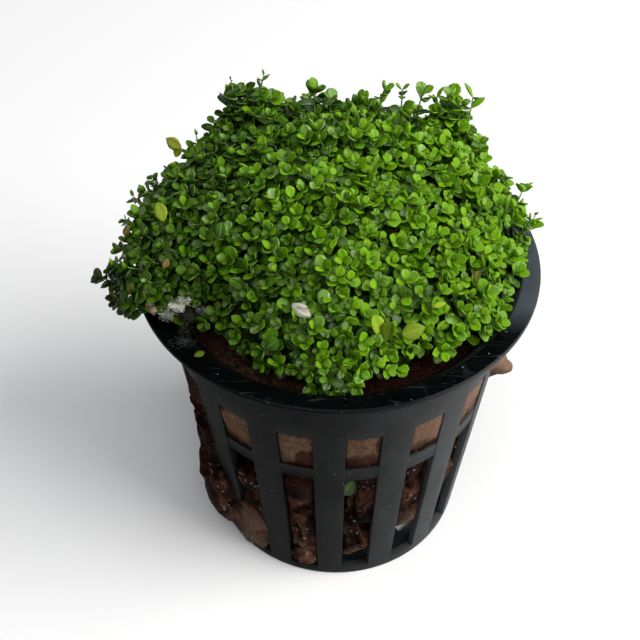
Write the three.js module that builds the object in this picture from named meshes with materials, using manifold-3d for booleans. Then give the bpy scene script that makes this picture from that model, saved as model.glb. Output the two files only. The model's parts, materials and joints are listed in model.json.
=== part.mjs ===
// Dwarf baby tears in a net pot: a slotted plastic pot, the wet mineral-wool plug in it, and
// the cushion of small-leaved stems that rises from the plug and spills over the rim.
// Millimetres, +Z up, origin at the middle of the pot's underside, front towards -Y.
// An azimuth is in degrees from the front, turning towards +X.
import * as THREE from "three";
import { mergeVertices } from "three/addons/utils/BufferGeometryUtils.js";
import Module from "manifold-3d";

const wasm = await Module();
wasm.setup();

// Driving dimensions
const CLEARANCE = 0.35; // between neighbouring pieces

const POT = {
  height: 50,
  footRadius: 19.95, // outside, at the base
  rimRadius: 24.55, // outside, where the wall would meet the top
  wall: 1.1,
  floor: 1.3,
  lipRadius: 27.5,
  lipThickness: 1.4,
  mouthRadius: 24.9, // inner edge of the flat lip
  edge: 0.3, // bevel of the base and the lip
  facets: 48,
};

const SLOTS = {
  columns: 16,
  firstAzimuth: 9.25,
  halfAngle: 5.9,
  tall: { low: 2.2, high: 28.8 },
  short: { low: 31.6, high: 39.1 },
};

const DRAINS = { count: 8, inner: 7.5, outer: 16.5, width: 2.2 };

const PLUG = {
  facets: 24,
  wallGap: 0.45,
  shoulder: 31, // above it the wool fills the pot, below it the wet wool has drawn in
  drawnIn: 1.1,
  shoulderDepth: 0.8,
  unevenness: 0.7, // of the wet wool, as a share of how far it has drawn in
  middleHeight: 18,
  edgeHeight: 47.6,
  crownHeight: 48.3,
  topEdge: { inset: 0.9, depth: 1 },
  lowestUnderside: 1.75,
  highestUnderside: 9.5,
  highestAzimuth: 62,
  bottomEdge: { inset: 0.6, depth: 1.4 },
  undersideHollow: 2,
};

// Folds of the wet wool: how many go round, and the rise in which one repeats by a radian
const WOOL_FOLDS = [
  { around: 3, rise: 4 },
  { around: 5, rise: -3 },
];

// Wool pressed out through the slots: column, middle height, half height, and how far it
// stands beyond the wall. Each lump is rooted in the plug and clear of the slot's sides.
const BULGE = { root: 3.3, sideGap: 0.45 };
const BULGES = [
  { column: -3, middle: 15.4, halfHeight: 10.6, reach: 2.6 },
  { column: -3, middle: 35.2, halfHeight: 3.2, reach: 0.5 },
  { column: -4, middle: 15, halfHeight: 10, reach: 0.9 },
  { column: -2, middle: 10.2, halfHeight: 7.4, reach: 0.9 },
  { column: -1, middle: 9.6, halfHeight: 5.6, reach: 0.2 },
  { column: 3, middle: 35.2, halfHeight: 3.2, reach: 3.1 },
  { column: 3, middle: 24, halfHeight: 3.4, reach: 0.7 },
  { column: 5, middle: 20, halfHeight: 6, reach: 0.5 },
  { column: -7, middle: 14, halfHeight: 7, reach: 0.8 },
];

// The cushion's widest line, anticlockwise from the right: x, y and height
const CUSHION_EDGE = [
  [27.2, 2.5, 53],
  [24.6, -5, 51.6],
  [21, -12, 51.2],
  [16, -16.6, 51],
  [10.5, -18.9, 51],
  [5.6, -22.4, 50.8],
  [0, -24.2, 50.6],
  [-6.4, -22.6, 50.8],
  [-11.8, -18, 51],
  [-16.2, -14, 51.4],
  [-21.5, -13, 52],
  [-30.6, -9.5, 52],
  [-28.6, -1, 55],
  [-25.2, 7, 57],
  [-19, 15, 58],
  [-11.5, 22.5, 59],
  [0, 25.5, 58.5],
  [11, 25, 58.5],
  [19.5, 18, 57],
  [24.8, 9.8, 54.5],
];

const CUSHION = {
  middle: [-1, 5],
  top: 65,
  edgeSamples: 144,
  fullness: 0.8, // below 1 the dome is full-shouldered
  leafDepth: 1.1, // from the leaf tips down to the solid mass of stems
  edgeInset: 0.7,
  slopeStep: 0.5, // over which the dome's slope is measured
};

const TUFT = { spokes: 12, rings: [1, 0.6], groove: 1.3, root: 45, facetsBelow: 16 };

// Clumps of stems: middle in plan, and how far each stands above the even dome
const TUFTS = [
  { name: "tuft_back_left", at: [-14, 13.5], lift: 4 },
  { name: "tuft_back_middle", at: [-2.5, 17], lift: -0.5 },
  { name: "tuft_back_right", at: [8.5, 16.5], lift: 2.2 },
  { name: "tuft_far_right", at: [17.4, 13.2], lift: 4 },
  { name: "tuft_left", at: [-22, 2], lift: 0 },
  { name: "tuft_middle_left", at: [-11, 2], lift: 0.3 },
  { name: "tuft_crown", at: [0.5, 5], lift: 0.8 },
  { name: "tuft_middle_right", at: [11.5, 3.5], lift: 0.3 },
  { name: "tuft_right", at: [21.5, 2], lift: 0 },
  { name: "tuft_left_rim", at: [-23.5, -7.5], lift: 0.3 },
  { name: "tuft_front_left", at: [-12.5, -8.5], lift: 0.3 },
  { name: "tuft_front_middle", at: [-1.5, -7.5], lift: 0 },
  { name: "tuft_front_right", at: [9.2, -9.5], lift: 0.3 },
  { name: "tuft_right_rim", at: [18.5, -8], lift: 0 },
  { name: "tuft_front_rim", at: [-0.5, -18], lift: 0.3 },
];

// Small whorls of leaves all over a tuft. Waist, cup, tip rise and overhang are shares of the
// radius, and uprightness above 1 turns a whorl from the dome's slope towards the sky.
const ROSETTE = {
  ground: 24, // square millimetres of tuft for each whorl
  radius: 2.3,
  leaves: 4,
  stalk: 3,
  sink: 0.3,
  waist: 0.42,
  cup: 0.35,
  tipRise: 0.25,
  overhang: 0.5,
  uprightness: 1.4,
  firstStep: 0.4, // where the spiral of whorls starts, in steps
};

// Shoots that stand clear of the cushion: the tuft they grow from, foot, tip, and the radius
// of the leaf whorl at the tip
const SHOOT = { stemRadius: 0.3, rootDepth: 3.5, facets: 3, stalk: 1.2, whorlTurn: 1.7 };
const SHOOTS = [
  { tuft: "tuft_back_left", foot: [-12.6, 13.6], tip: [-10.3, 14, 70.4], leaf: 1.1 },
  { tuft: "tuft_back_left", foot: [-14.8, 13.6], tip: [-14.7, 14, 69], leaf: 0.8 },
  { tuft: "tuft_back_middle", foot: [-3, 17], tip: [-3, 17, 66.4], leaf: 2 },
  { tuft: "tuft_back_right", foot: [6.6, 17], tip: [5.7, 17, 65.8], leaf: 1.7 },
  { tuft: "tuft_back_right", foot: [8.6, 17], tip: [8.3, 17, 66.3], leaf: 2 },
  { tuft: "tuft_back_right", foot: [10.8, 17], tip: [11.3, 17, 66.5], leaf: 1.9 },
  { tuft: "tuft_far_right", foot: [15, 15], tip: [14.9, 15.6, 66.4], leaf: 1.9 },
  { tuft: "tuft_far_right", foot: [17.6, 15], tip: [18.5, 15.5, 65.9], leaf: 1.6 },
  { tuft: "tuft_right", foot: [21, 6], tip: [22, 7.6, 59], leaf: 1.7 },
  { tuft: "tuft_right", foot: [23.5, 4.5], tip: [25.2, 5.8, 57.8], leaf: 1.6 },
  { tuft: "tuft_left_rim", foot: [-28, -8], tip: [-31.2, -7.7, 52.4], leaf: 1.4 },
];

// Loose things caught in the leaves or lying on the lip
const HUSK = { at: [-4.3, -17.6], length: 2.7, width: 1.6, thickness: 1.2, sink: 0.2, turn: -38 };
const FLUFF = {
  pad: { at: [-19.9, -14.9, 52.3], size: [2.9, 1.5, 1.1] },
  tail: { at: [-19.5, -16.6, 51.2], size: [1.3, 1.7, 0.9] },
};
const FALLEN_LEAF = { at: [-17, -19, 50], length: 1.5, width: 0.9, thickness: 0.25, turn: 35 };
const SLOT_LEAF = {
  column: 0,
  azimuthShift: -2.6,
  height: 25.2,
  length: 2.9,
  width: 1.3,
  thickness: 0.3,
};

// The space below the foliage: how far the open air goes out and up under the overhang, and
// where the pot's mouth slopes down to the plug
const BELOW = { airRadius: 60, airRise: 1.2, mouthTop: 24.3, mouthBottom: 23, depth: 1 };

const EGG_FACETS = { around: 6, high: 4 };
const OVAL_STEPS = 4;
const MERGE_DISTANCE = 1e-4;
const PARALLEL = 1e-6; // below this a border runs along a spoke and never meets it

const COLOURS = {
  plastic: { color: 0x1c1e20, roughness: 0.45 },
  wool: { color: 0x5a3d28, roughness: 0.55 },
  foliage: { color: 0x3c7a16, roughness: 0.5 },
  husk: { color: 0xb9ab93, roughness: 0.7 },
  fluff: { color: 0xb8b6ae, roughness: 0.9 },
};

// Solids and meshes

function solidOf(geometry) {
  const bare = geometry.clone();
  bare.deleteAttribute("normal");
  bare.deleteAttribute("uv");
  const merged = mergeVertices(bare, MERGE_DISTANCE);
  return new wasm.Manifold(
    new wasm.Mesh({
      numProp: 3,
      vertProperties: merged.attributes.position.array,
      triVerts: new Uint32Array(merged.index.array),
    }),
  );
}

function geometryOf(solid) {
  const { vertProperties, triVerts } = solid.getMesh();
  const geometry = new THREE.BufferGeometry();
  geometry.setAttribute("position", new THREE.BufferAttribute(vertProperties, 3));
  geometry.setIndex(new THREE.BufferAttribute(triVerts, 1));
  geometry.computeVertexNormals();
  return geometry;
}

function piece(name, solid, finish) {
  const material = new THREE.MeshStandardMaterial({ ...finish, metalness: 0, flatShading: true });
  const mesh = new THREE.Mesh(geometryOf(solid), material);
  mesh.name = name;
  return mesh;
}

const join = (solids) => solids.reduce((all, one) => all.add(one));

// A closed turned solid from a profile of [radius, height] that starts and ends on the axis
function turned(profile, facets, firstEdge = 0) {
  const points = profile.map(([radius, height]) => new THREE.Vector2(radius, height));
  return solidOf(new THREE.LatheGeometry(points, facets, firstEdge).rotateX(Math.PI / 2));
}

// A closed solid from rings stacked from bottom to top, fanned shut at each end
function lofted(rings, bottom, top) {
  const count = rings[0].length;
  const points = [...rings.flat(), bottom, top];
  const bottomIndex = points.length - 2;
  const topIndex = points.length - 1;
  const faces = [];
  for (let i = 0; i < count; i++) {
    const next = (i + 1) % count;
    for (let k = 0; k + 1 < rings.length; k++) {
      const [a, b] = [k * count + i, k * count + next];
      const [c, d] = [a + count, b + count];
      faces.push(a, b, d, a, d, c);
    }
    const last = (rings.length - 1) * count;
    faces.push(bottomIndex, next, i, topIndex, last + i, last + next);
  }
  const geometry = new THREE.BufferGeometry().setFromPoints(points);
  geometry.setIndex(faces);
  return solidOf(geometry);
}

// An egg-like solid with few facets
function egg([x, y, z], [sizeX, sizeY, sizeZ], matrix = new THREE.Matrix4()) {
  const geometry = new THREE.SphereGeometry(1, EGG_FACETS.around, EGG_FACETS.high);
  geometry.rotateX(Math.PI / 2);
  return solidOf(geometry.scale(sizeX, sizeY, sizeZ).applyMatrix4(matrix).translate(x, y, z));
}

// A pointed oval plate that lies flat, its length along X
function oval(length, width, thickness) {
  const half = length / 2;
  const outline = new THREE.Shape();
  outline.moveTo(-half, 0);
  outline.quadraticCurveTo(0, -width, half, 0);
  outline.quadraticCurveTo(0, width, -half, 0);
  const settings = { depth: thickness, bevelEnabled: false, curveSegments: OVAL_STEPS };
  return new THREE.ExtrudeGeometry(outline, settings);
}

const radians = THREE.MathUtils.degToRad;
const onAzimuth = (azimuth, radius, height) =>
  new THREE.Vector3(
    radius * Math.sin(radians(azimuth)),
    -radius * Math.cos(radians(azimuth)),
    height,
  );

// Net pot

const wallRadius = (height) =>
  POT.footRadius + ((POT.rimRadius - POT.footRadius) * height) / POT.height;
const boreRadius = (height) => wallRadius(height) - POT.wall;
const columnAzimuth = (column) => SLOTS.firstAzimuth + (column * 360) / SLOTS.columns;

// The wedge that one slot takes out of the wall, from well inside it to well outside
function slotWedge(azimuth, { low, high }) {
  const [inside, outside] = [POT.footRadius / 2, POT.lipRadius];
  const [left, right] = [azimuth - SLOTS.halfAngle, azimuth + SLOTS.halfAngle];
  const corners = [
    onAzimuth(left, inside, 0),
    onAzimuth(left, outside, 0),
    onAzimuth(right, outside, 0),
    onAzimuth(right, inside, 0),
  ];
  const outline = new THREE.Shape(corners.map(({ x, y }) => new THREE.Vector2(x, y)));
  const settings = { depth: high - low, bevelEnabled: false };
  return solidOf(new THREE.ExtrudeGeometry(outline, settings).translate(0, 0, low));
}

function drainSlot(azimuth) {
  const length = DRAINS.outer - DRAINS.inner;
  const throughFloor = 3 * POT.floor;
  const box = new THREE.BoxGeometry(DRAINS.width, length, throughFloor);
  box.translate(0, -(DRAINS.inner + length / 2), 0);
  return solidOf(box.rotateZ(radians(azimuth)));
}

function netPot() {
  const { height, lipRadius, lipThickness, mouthRadius, floor, edge } = POT;
  const underLip = height - lipThickness;
  const shell = turned(
    [
      [0, 0],
      [POT.footRadius - edge, 0],
      [wallRadius(edge), edge],
      [wallRadius(underLip), underLip],
      [lipRadius, underLip],
      [lipRadius, height - edge],
      [lipRadius - edge, height],
      [mouthRadius, height],
      [boreRadius(underLip), underLip],
      [boreRadius(floor), floor],
      [0, floor],
    ],
    POT.facets,
    radians(SLOTS.firstAzimuth + 180 / POT.facets),
  );
  const columns = Array.from({ length: SLOTS.columns }, (_, i) => columnAzimuth(i));
  const slots = columns.flatMap((azimuth) => [
    slotWedge(azimuth, SLOTS.tall),
    slotWedge(azimuth, SLOTS.short),
  ]);
  const drains = Array.from({ length: DRAINS.count }, (_, i) => drainSlot((i * 360) / DRAINS.count));
  return shell.subtract(join([...slots, ...drains]));
}

// Growing plug

function plugUnderside(azimuth) {
  const rise = (1 + Math.cos(radians(azimuth - PLUG.highestAzimuth))) / 2;
  return PLUG.lowestUnderside + (PLUG.highestUnderside - PLUG.lowestUnderside) * rise ** 2;
}

function plugRadius(azimuth, height) {
  const fullRadius = boreRadius(height) - PLUG.wallGap;
  if (height > PLUG.shoulder) return fullRadius;
  const folds = WOOL_FOLDS.map(({ around, rise }) => Math.sin(radians(around * azimuth) + height / rise));
  return fullRadius - PLUG.drawnIn * (1 + PLUG.unevenness * folds[0] * folds[1]);
}

function plugCore() {
  const { shoulder, shoulderDepth, edgeHeight, topEdge, bottomEdge } = PLUG;
  const azimuths = Array.from({ length: PLUG.facets }, (_, i) => (i * 360) / PLUG.facets);
  const ring = (heightAt, inset = 0) =>
    azimuths.map((azimuth) => {
      const height = heightAt(azimuth);
      return onAzimuth(azimuth, plugRadius(azimuth, height) - inset, height);
    });
  const rings = [
    ring(plugUnderside, bottomEdge.inset),
    ring((azimuth) => plugUnderside(azimuth) + bottomEdge.depth),
    ring(() => PLUG.middleHeight),
    ring(() => shoulder - shoulderDepth / 2),
    ring(() => shoulder + shoulderDepth / 2),
    ring(() => edgeHeight - topEdge.depth),
    ring(() => edgeHeight, topEdge.inset),
  ];
  const bottom = new THREE.Vector3(0, 0, PLUG.lowestUnderside + PLUG.undersideHollow);
  return lofted(rings, bottom, new THREE.Vector3(0, 0, PLUG.crownHeight));
}

function plugBulge({ column, middle, halfHeight, reach }) {
  const azimuth = columnAzimuth(column);
  const innermost = boreRadius(middle) - PLUG.wallGap - BULGE.root;
  const outermost = wallRadius(middle) + reach;
  const halfWidth = wallRadius(middle) * Math.sin(radians(SLOTS.halfAngle)) - BULGE.sideGap;
  const centre = onAzimuth(azimuth, (innermost + outermost) / 2, middle);
  const size = [halfWidth, (outermost - innermost) / 2, halfHeight];
  return egg(centre.toArray(), size, new THREE.Matrix4().makeRotationZ(radians(azimuth)));
}

const growingPlug = () => join([plugCore(), ...BULGES.map(plugBulge)]);

// Cushion of foliage

const edgeCurve = new THREE.CatmullRomCurve3(
  CUSHION_EDGE.map((point) => new THREE.Vector3(...point)),
  true,
);
const edgeLine = edgeCurve.getPoints(CUSHION.edgeSamples).slice(0, -1);

// Distance from a point to the cushion's edge in one direction, and the edge's height there
function edgeFrom([x, y], angle) {
  const [dx, dy] = [Math.cos(angle), Math.sin(angle)];
  for (let i = 0; i < edgeLine.length; i++) {
    const from = edgeLine[i];
    const along = edgeLine[(i + 1) % edgeLine.length].clone().sub(from);
    const across = dx * along.y - dy * along.x;
    const distance = ((from.x - x) * along.y - (from.y - y) * along.x) / across;
    const share = ((from.x - x) * dy - (from.y - y) * dx) / across;
    if (distance > 0 && share >= 0 && share <= 1) {
      return { distance, height: from.z + share * along.z };
    }
  }
  throw new Error("the point lies outside the cushion's edge");
}

// Height of the leaf tips over the even dome
function domeHeight(x, y) {
  const [dx, dy] = [x - CUSHION.middle[0], y - CUSHION.middle[1]];
  const edge = edgeFrom(CUSHION.middle, Math.atan2(dy, dx));
  const share = Math.min(1, Math.hypot(dx, dy) / edge.distance);
  return edge.height + (CUSHION.top - edge.height) * (1 - share ** 2) ** CUSHION.fullness;
}

// A tuft keeps to the ground nearer to its own middle than to any other's
function neighboursOf(tuft) {
  return TUFTS.filter((other) => other !== tuft).map((other) => {
    const [dx, dy] = [other.at[0] - tuft.at[0], other.at[1] - tuft.at[1]];
    const apart = Math.hypot(dx, dy);
    return { toward: [dx / apart, dy / apart], border: (apart - CLEARANCE) / 2 };
  });
}

function spokeLength(tuft, angle) {
  const edge = edgeFrom(tuft.at, angle).distance - CUSHION.edgeInset;
  const borders = neighboursOf(tuft).map(({ toward, border }) => {
    const facing = Math.cos(angle) * toward[0] + Math.sin(angle) * toward[1];
    return facing > PARALLEL ? border / facing : Infinity;
  });
  return Math.min(edge, ...borders);
}

const spokeAngles = Array.from({ length: TUFT.spokes }, (_, i) => (i * 2 * Math.PI) / TUFT.spokes);

const tuftHeight = (tuft, x, y, share) => domeHeight(x, y) + tuft.lift * (1 - share ** 2);

function tuftBody(tuft) {
  const [x, y] = tuft.at;
  const ring = (share, heightAt) =>
    spokeAngles.map((angle) => {
      const reach = share * spokeLength(tuft, angle);
      const [px, py] = [x + reach * Math.cos(angle), y + reach * Math.sin(angle)];
      return new THREE.Vector3(px, py, heightAt(px, py));
    });
  const massHeight = (share) => (px, py) =>
    tuftHeight(tuft, px, py, share) - CUSHION.leafDepth - TUFT.groove * share ** 4;
  const rings = [
    ring(1, () => TUFT.root),
    ...TUFT.rings.map((share) => ring(share, massHeight(share))),
  ];
  const middle = (height) => new THREE.Vector3(x, y, height);
  return lofted(rings, middle(TUFT.root), middle(massHeight(0)(x, y)));
}

// Leaves in a cupped whorl, on a stalk that tapers down into the tuft
function rosette(centre, normal, radius, stalk, turn) {
  const frame = new THREE.Quaternion().setFromUnitVectors(new THREE.Vector3(0, 0, 1), normal);
  const place = (x, y, z) => new THREE.Vector3(x, y, z).applyQuaternion(frame).add(centre);
  const ring = Array.from({ length: 2 * ROSETTE.leaves }, (_, i) => {
    const isTip = i % 2 === 0;
    const reach = radius * (isTip ? 1 : ROSETTE.waist);
    const angle = turn + (i * Math.PI) / ROSETTE.leaves;
    const rise = isTip ? ROSETTE.tipRise * radius : 0;
    return place(reach * Math.cos(angle), reach * Math.sin(angle), rise);
  });
  return lofted([ring], place(0, 0, -stalk), place(0, 0, -ROSETTE.cup * radius));
}

function domeNormal(x, y) {
  const step = CUSHION.slopeStep;
  const slopeX = (domeHeight(x + step, y) - domeHeight(x - step, y)) / (2 * step);
  const slopeY = (domeHeight(x, y + step) - domeHeight(x, y - step)) / (2 * step);
  return new THREE.Vector3(-slopeX, -slopeY, ROSETTE.uprightness).normalize();
}

// Rosettes spread over a tuft in a sunflower spiral, each kept inside the tuft's own ground
function tuftRosettes(tuft) {
  const goldenAngle = Math.PI * (3 - Math.sqrt(5));
  const neighbours = neighboursOf(tuft);
  const spokes = spokeAngles.map((angle) => spokeLength(tuft, angle));
  const area = spokes.reduce((sum, spoke) => sum + (spoke ** 2 * Math.PI) / TUFT.spokes, 0);
  const count = Math.round(area / ROSETTE.ground);
  return Array.from({ length: count }, (_, i) => {
    const angle = i * goldenAngle + tuft.at[0];
    const spoke = spokeLength(tuft, angle);
    const share = Math.sqrt((i + ROSETTE.firstStep) / count);
    const reach = share * (spoke - ROSETTE.overhang * ROSETTE.radius);
    const [dx, dy] = [reach * Math.cos(angle), reach * Math.sin(angle)];
    const room = neighbours.map(({ toward, border }) => border - dx * toward[0] - dy * toward[1]);
    const radius = Math.min(ROSETTE.radius, ...room.map((width) => width - CLEARANCE));
    const [x, y] = [tuft.at[0] + dx, tuft.at[1] + dy];
    const height = tuftHeight(tuft, x, y, reach / spoke) - ROSETTE.sink;
    return rosette(new THREE.Vector3(x, y, height), domeNormal(x, y), radius, ROSETTE.stalk, angle);
  });
}

function shoot({ foot, tip, leaf }) {
  const from = new THREE.Vector3(...foot, domeHeight(...foot) - SHOOT.rootDepth);
  const to = new THREE.Vector3(...tip);
  const axis = to.clone().sub(from);
  const height = axis.length();
  axis.normalize();
  const upright = new THREE.Quaternion().setFromUnitVectors(new THREE.Vector3(0, 1, 0), axis);
  const stem = new THREE.CylinderGeometry(SHOOT.stemRadius, SHOOT.stemRadius, height, SHOOT.facets);
  stem.applyQuaternion(upright).translate(...from.clone().add(to).divideScalar(2).toArray());
  return solidOf(stem).add(rosette(to, axis, leaf, SHOOT.stalk, SHOOT.whorlTurn));
}

// All that lies under the leaves, grown by the clearance: the plug's top, the pot's mouth
// and lip, and the open air below the overhang
function underFoliage() {
  const lipTop = POT.height + CLEARANCE;
  const bottom = TUFT.root - BELOW.depth;
  return turned(
    [
      [0, bottom],
      [BELOW.airRadius, bottom],
      [BELOW.airRadius, lipTop + BELOW.airRise],
      [POT.lipRadius + CLEARANCE, lipTop],
      [BELOW.mouthTop, lipTop],
      [BELOW.mouthBottom, PLUG.edgeHeight + CLEARANCE],
      [0, PLUG.crownHeight + CLEARANCE],
    ],
    TUFT.facetsBelow,
  );
}

// Loose pieces

function husk(grow = 0) {
  const [x, y] = HUSK.at;
  const size = [HUSK.length, HUSK.width, HUSK.thickness].map((extent) => extent / 2 + grow);
  const up = new THREE.Vector3(0, 0, 1);
  const lying = new THREE.Quaternion().setFromUnitVectors(up, domeNormal(x, y));
  const turn = new THREE.Quaternion().setFromAxisAngle(up, radians(HUSK.turn));
  const matrix = new THREE.Matrix4().makeRotationFromQuaternion(lying.multiply(turn));
  return egg([x, y, domeHeight(x, y) - HUSK.sink], size, matrix);
}

function fluff(grow = 0) {
  const lumps = [FLUFF.pad, FLUFF.tail];
  return join(lumps.map(({ at, size }) => egg(at, size.map((half) => half + grow))));
}

function fallenLeaf() {
  const { at, length, width, thickness, turn } = FALLEN_LEAF;
  const [x, y, z] = at;
  const plate = oval(length, width, thickness).rotateZ(radians(turn));
  return solidOf(plate.translate(x, y, z + CLEARANCE));
}

// A leaf caught between the plug and the wall, seen through a slot
function slotLeaf(grow = 0) {
  const { column, azimuthShift, height, length, width, thickness } = SLOT_LEAF;
  const azimuth = columnAzimuth(column) + azimuthShift;
  const plate = oval(length + 2 * grow, width + 2 * grow, thickness + 2 * grow);
  plate.translate(0, 0, -thickness / 2 - grow).rotateY(Math.PI / 2).rotateZ(Math.PI / 2);
  plate.rotateZ(radians(azimuth));
  const radius = boreRadius(height) - CLEARANCE - thickness;
  const { x, y, z } = onAzimuth(azimuth, radius, height);
  return solidOf(plate.translate(x, y, z));
}

// The part

const part = new THREE.Group();
part.add(piece("net_pot", netPot(), COLOURS.plastic));
part.add(piece("growing_plug", growingPlug().subtract(slotLeaf(CLEARANCE)), COLOURS.wool));

const keptClear = join([underFoliage(), husk(CLEARANCE), fluff(CLEARANCE)]);
for (const tuft of TUFTS) {
  const shoots = SHOOTS.filter((one) => one.tuft === tuft.name).map(shoot);
  const grown = join([tuftBody(tuft), ...tuftRosettes(tuft), ...shoots]);
  part.add(piece(tuft.name, grown.subtract(keptClear), COLOURS.foliage));
}

part.add(piece("seed_husk", husk(), COLOURS.husk));
part.add(piece("wool_fluff", fluff().subtract(underFoliage()), COLOURS.fluff));
part.add(piece("fallen_leaf", fallenLeaf(), COLOURS.foliage));
part.add(piece("leaf_in_slot", slotLeaf(), COLOURS.foliage));

export default part;
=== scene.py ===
"""Dwarf baby tears in a net pot: the looks of the pot, its wet wool plug and the plant.

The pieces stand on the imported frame, in metres, +Z up, front towards -Y. Lists of places and
sizes are in millimetres where their names end in _MM. An azimuth is in degrees from the front,
turning towards +X. The scales of noise are in features per metre.
"""
import json
import math

import bpy
import bmesh
import numpy as np
from mathutils import Matrix, Quaternion, Vector, noise

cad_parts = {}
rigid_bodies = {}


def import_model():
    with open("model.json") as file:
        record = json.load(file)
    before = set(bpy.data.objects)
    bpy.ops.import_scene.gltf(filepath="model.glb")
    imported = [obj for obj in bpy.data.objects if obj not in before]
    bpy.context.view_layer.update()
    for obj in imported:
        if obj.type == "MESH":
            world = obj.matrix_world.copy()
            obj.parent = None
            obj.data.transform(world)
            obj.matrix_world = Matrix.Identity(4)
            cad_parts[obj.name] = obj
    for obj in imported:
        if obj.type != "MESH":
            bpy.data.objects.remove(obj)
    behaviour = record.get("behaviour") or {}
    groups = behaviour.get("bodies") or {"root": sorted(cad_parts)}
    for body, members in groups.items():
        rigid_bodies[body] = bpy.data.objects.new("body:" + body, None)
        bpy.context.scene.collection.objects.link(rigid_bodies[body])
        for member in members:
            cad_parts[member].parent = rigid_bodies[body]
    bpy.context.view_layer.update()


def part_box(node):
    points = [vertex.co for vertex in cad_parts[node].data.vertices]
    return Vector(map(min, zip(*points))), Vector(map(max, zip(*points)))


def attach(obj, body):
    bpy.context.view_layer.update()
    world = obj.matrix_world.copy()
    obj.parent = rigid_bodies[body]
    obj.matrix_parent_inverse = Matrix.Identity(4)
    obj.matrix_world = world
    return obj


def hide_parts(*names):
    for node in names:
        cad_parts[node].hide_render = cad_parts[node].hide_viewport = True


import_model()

bl_info = {
    "name": "Potted dwarf baby tears",
    "version": (1, 0, 0),
    "blender": (4, 5, 0),
    "location": "3D View > Sidebar > Baby Tears",
    "description": "Builds a net pot of dwarf baby tears with its wool plug, and a stage for it",
    "category": "Object",
}

MM = 0.001
BODY = "root"
POT_LOW, POT_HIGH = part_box("net_pot")

# Slots and drains of the net pot: heights and radii in millimetres, angles in degrees
SLOT_COLUMNS = 16
COLUMN_PITCH = 360 / SLOT_COLUMNS
FIRST_AZIMUTH = 9.25
SLOT_HALF_ANGLE = 5.9
TALL_SLOT_MM = (2.2, 28.8)
SHORT_SLOT_MM = (31.6, 39.1)
DRAIN_MM = (7.5, 16.5)
DRAIN_HALF_ANGLE = 6.0

# Growing plug: drawn in below its shoulder, its underside slanting up on the right
PLUG_SHOULDER_MM = (30.6, 31.4)
PLUG_GAP_MM = 0.45
PLUG_DRAWN_IN_MM = 1.1
PLUG_UNDERSIDE_MM = (1.75, 9.5)
PLUG_HIGHEST_AZIMUTH = 62
PLUG_TOP_MM = (47.6, 48.3)
# Folds round the plug: how many, and the height in which they shift by a radian
WOOL_FOLDS = ((3, 4), (5, -3))
# Patches pressed out in the slots: azimuth, half angle, height, half height, reach past the wall
PRESSED_MM = (
    *((FIRST_AZIMUTH + COLUMN_PITCH * i, 6.4, 35.4, 4.15, -0.14) for i in range(-8, 8)),
    (-58.25, 6.1, 20.5, 12, 0.8), (-35.5, 6.1, 13.6, 10.4, 0), (-13.25, 6.2, 15.9, 13.6, -0.35),
    (12.1, 3.8, 19, 11, -0.45), (9.25, 6.1, 9.2, 7.8, -0.4), (32.4, 5.4, 19.6, 10.4, -0.6),
    (54.2, 4.6, 20.5, 9, -0.6), (76.75, 5, 19, 9.6, -0.5), (-80.75, 5.8, 18, 12, -0.2),
)
# Painted shade in the wool's folds above the ring: azimuth, height, half angle, half height
FOLD_SHADE_MM = (
    (-9.4, 33.2, 4.4, 2.6), (9.25, 31.7, 11, 3.0), (14.5, 37, 1.3, 2.2), (34, 31.6, 6, 1.8),
    (-40.8, 38.8, 1.6, 1.0), (-34.5, 31.6, 4, 1.4),
)
# Wool squeezed over the ribs: azimuth, height, half width, half height, thickness
OVERFLOW_MM = (
    (-59, 9.4, 4.6, 6.6, 2.3), (-54.5, 14.5, 3.2, 6, 1.7), (-44.5, 5.4, 3.4, 4.6, 0.6),
    (-38, 8.5, 3.2, 6.5, 0.35), (-13.4, 4.9, 2, 2.6, 0.1), (75.6, 34.3, 1.4, 1.3, 2.9),
)
# Lumps in the slots, from this deep in the plug: column, height, half height, reach past wall
BULGE_ROOT_MM = 3.3
BULGES_MM = (
    (-3, 15.4, 10.6, 2.6), (-3, 35.2, 3.2, 0.5), (-4, 15, 10, 0.9), (-2, 10.2, 7.4, 0.9),
    (-1, 9.6, 5.6, 0.2), (3, 34.4, 2.8, 2.0), (3, 24, 3.4, 0.7), (5, 20, 6, 0.5),
    (-7, 14, 7, 0.8),
)

# Cushion of foliage: its widest line, anticlockwise from the right, as x, y and height
EDGE_MM = (
    (26.1, 1.5, 53.2), (24.2, -5, 51.6), (21, -12, 51.2), (16, -16.6, 51), (10.5, -18.9, 51),
    (5.6, -22.4, 50.8), (0, -24.2, 50.6), (-6.4, -22.6, 50.8), (-11.8, -18, 51),
    (-16.2, -14, 51.4), (-21.5, -13, 52), (-26.8, -12.2, 51.2), (-29.4, -9, 51.8),
    (-28.4, -1, 55), (-25.4, 7, 56.8), (-18.8, 15, 58), (-11.5, 22.5, 58.4), (0, 25.5, 57.8),
    (11, 25, 57), (18, 18, 56), (21.9, 12, 54.2), (25.2, 7, 54),
)
EDGE_STEPS = 12
DOME_MIDDLE_MM = (-1.0, 5.0)
DOME_TOP_MM = 65.0
DOME_FULLNESS = 0.8
# Crests on the dome: x, y, radius and rise
CRESTS_MM = ((-12.4, 15, 3.2, 3.6), (16.6, 16.8, 3.6, 4.6))
# How low the leaves hang over the cushion's edge
SKIRT_LOW_MM = 53.0
# A tuft's surface: rings of points round its middle, and the number of its edge's first point
TUFT_SPOKES = 40
TUFT_RINGS = 9
TUFT_EDGE = 1 + (TUFT_RINGS - 1) * TUFT_SPOKES

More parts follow.
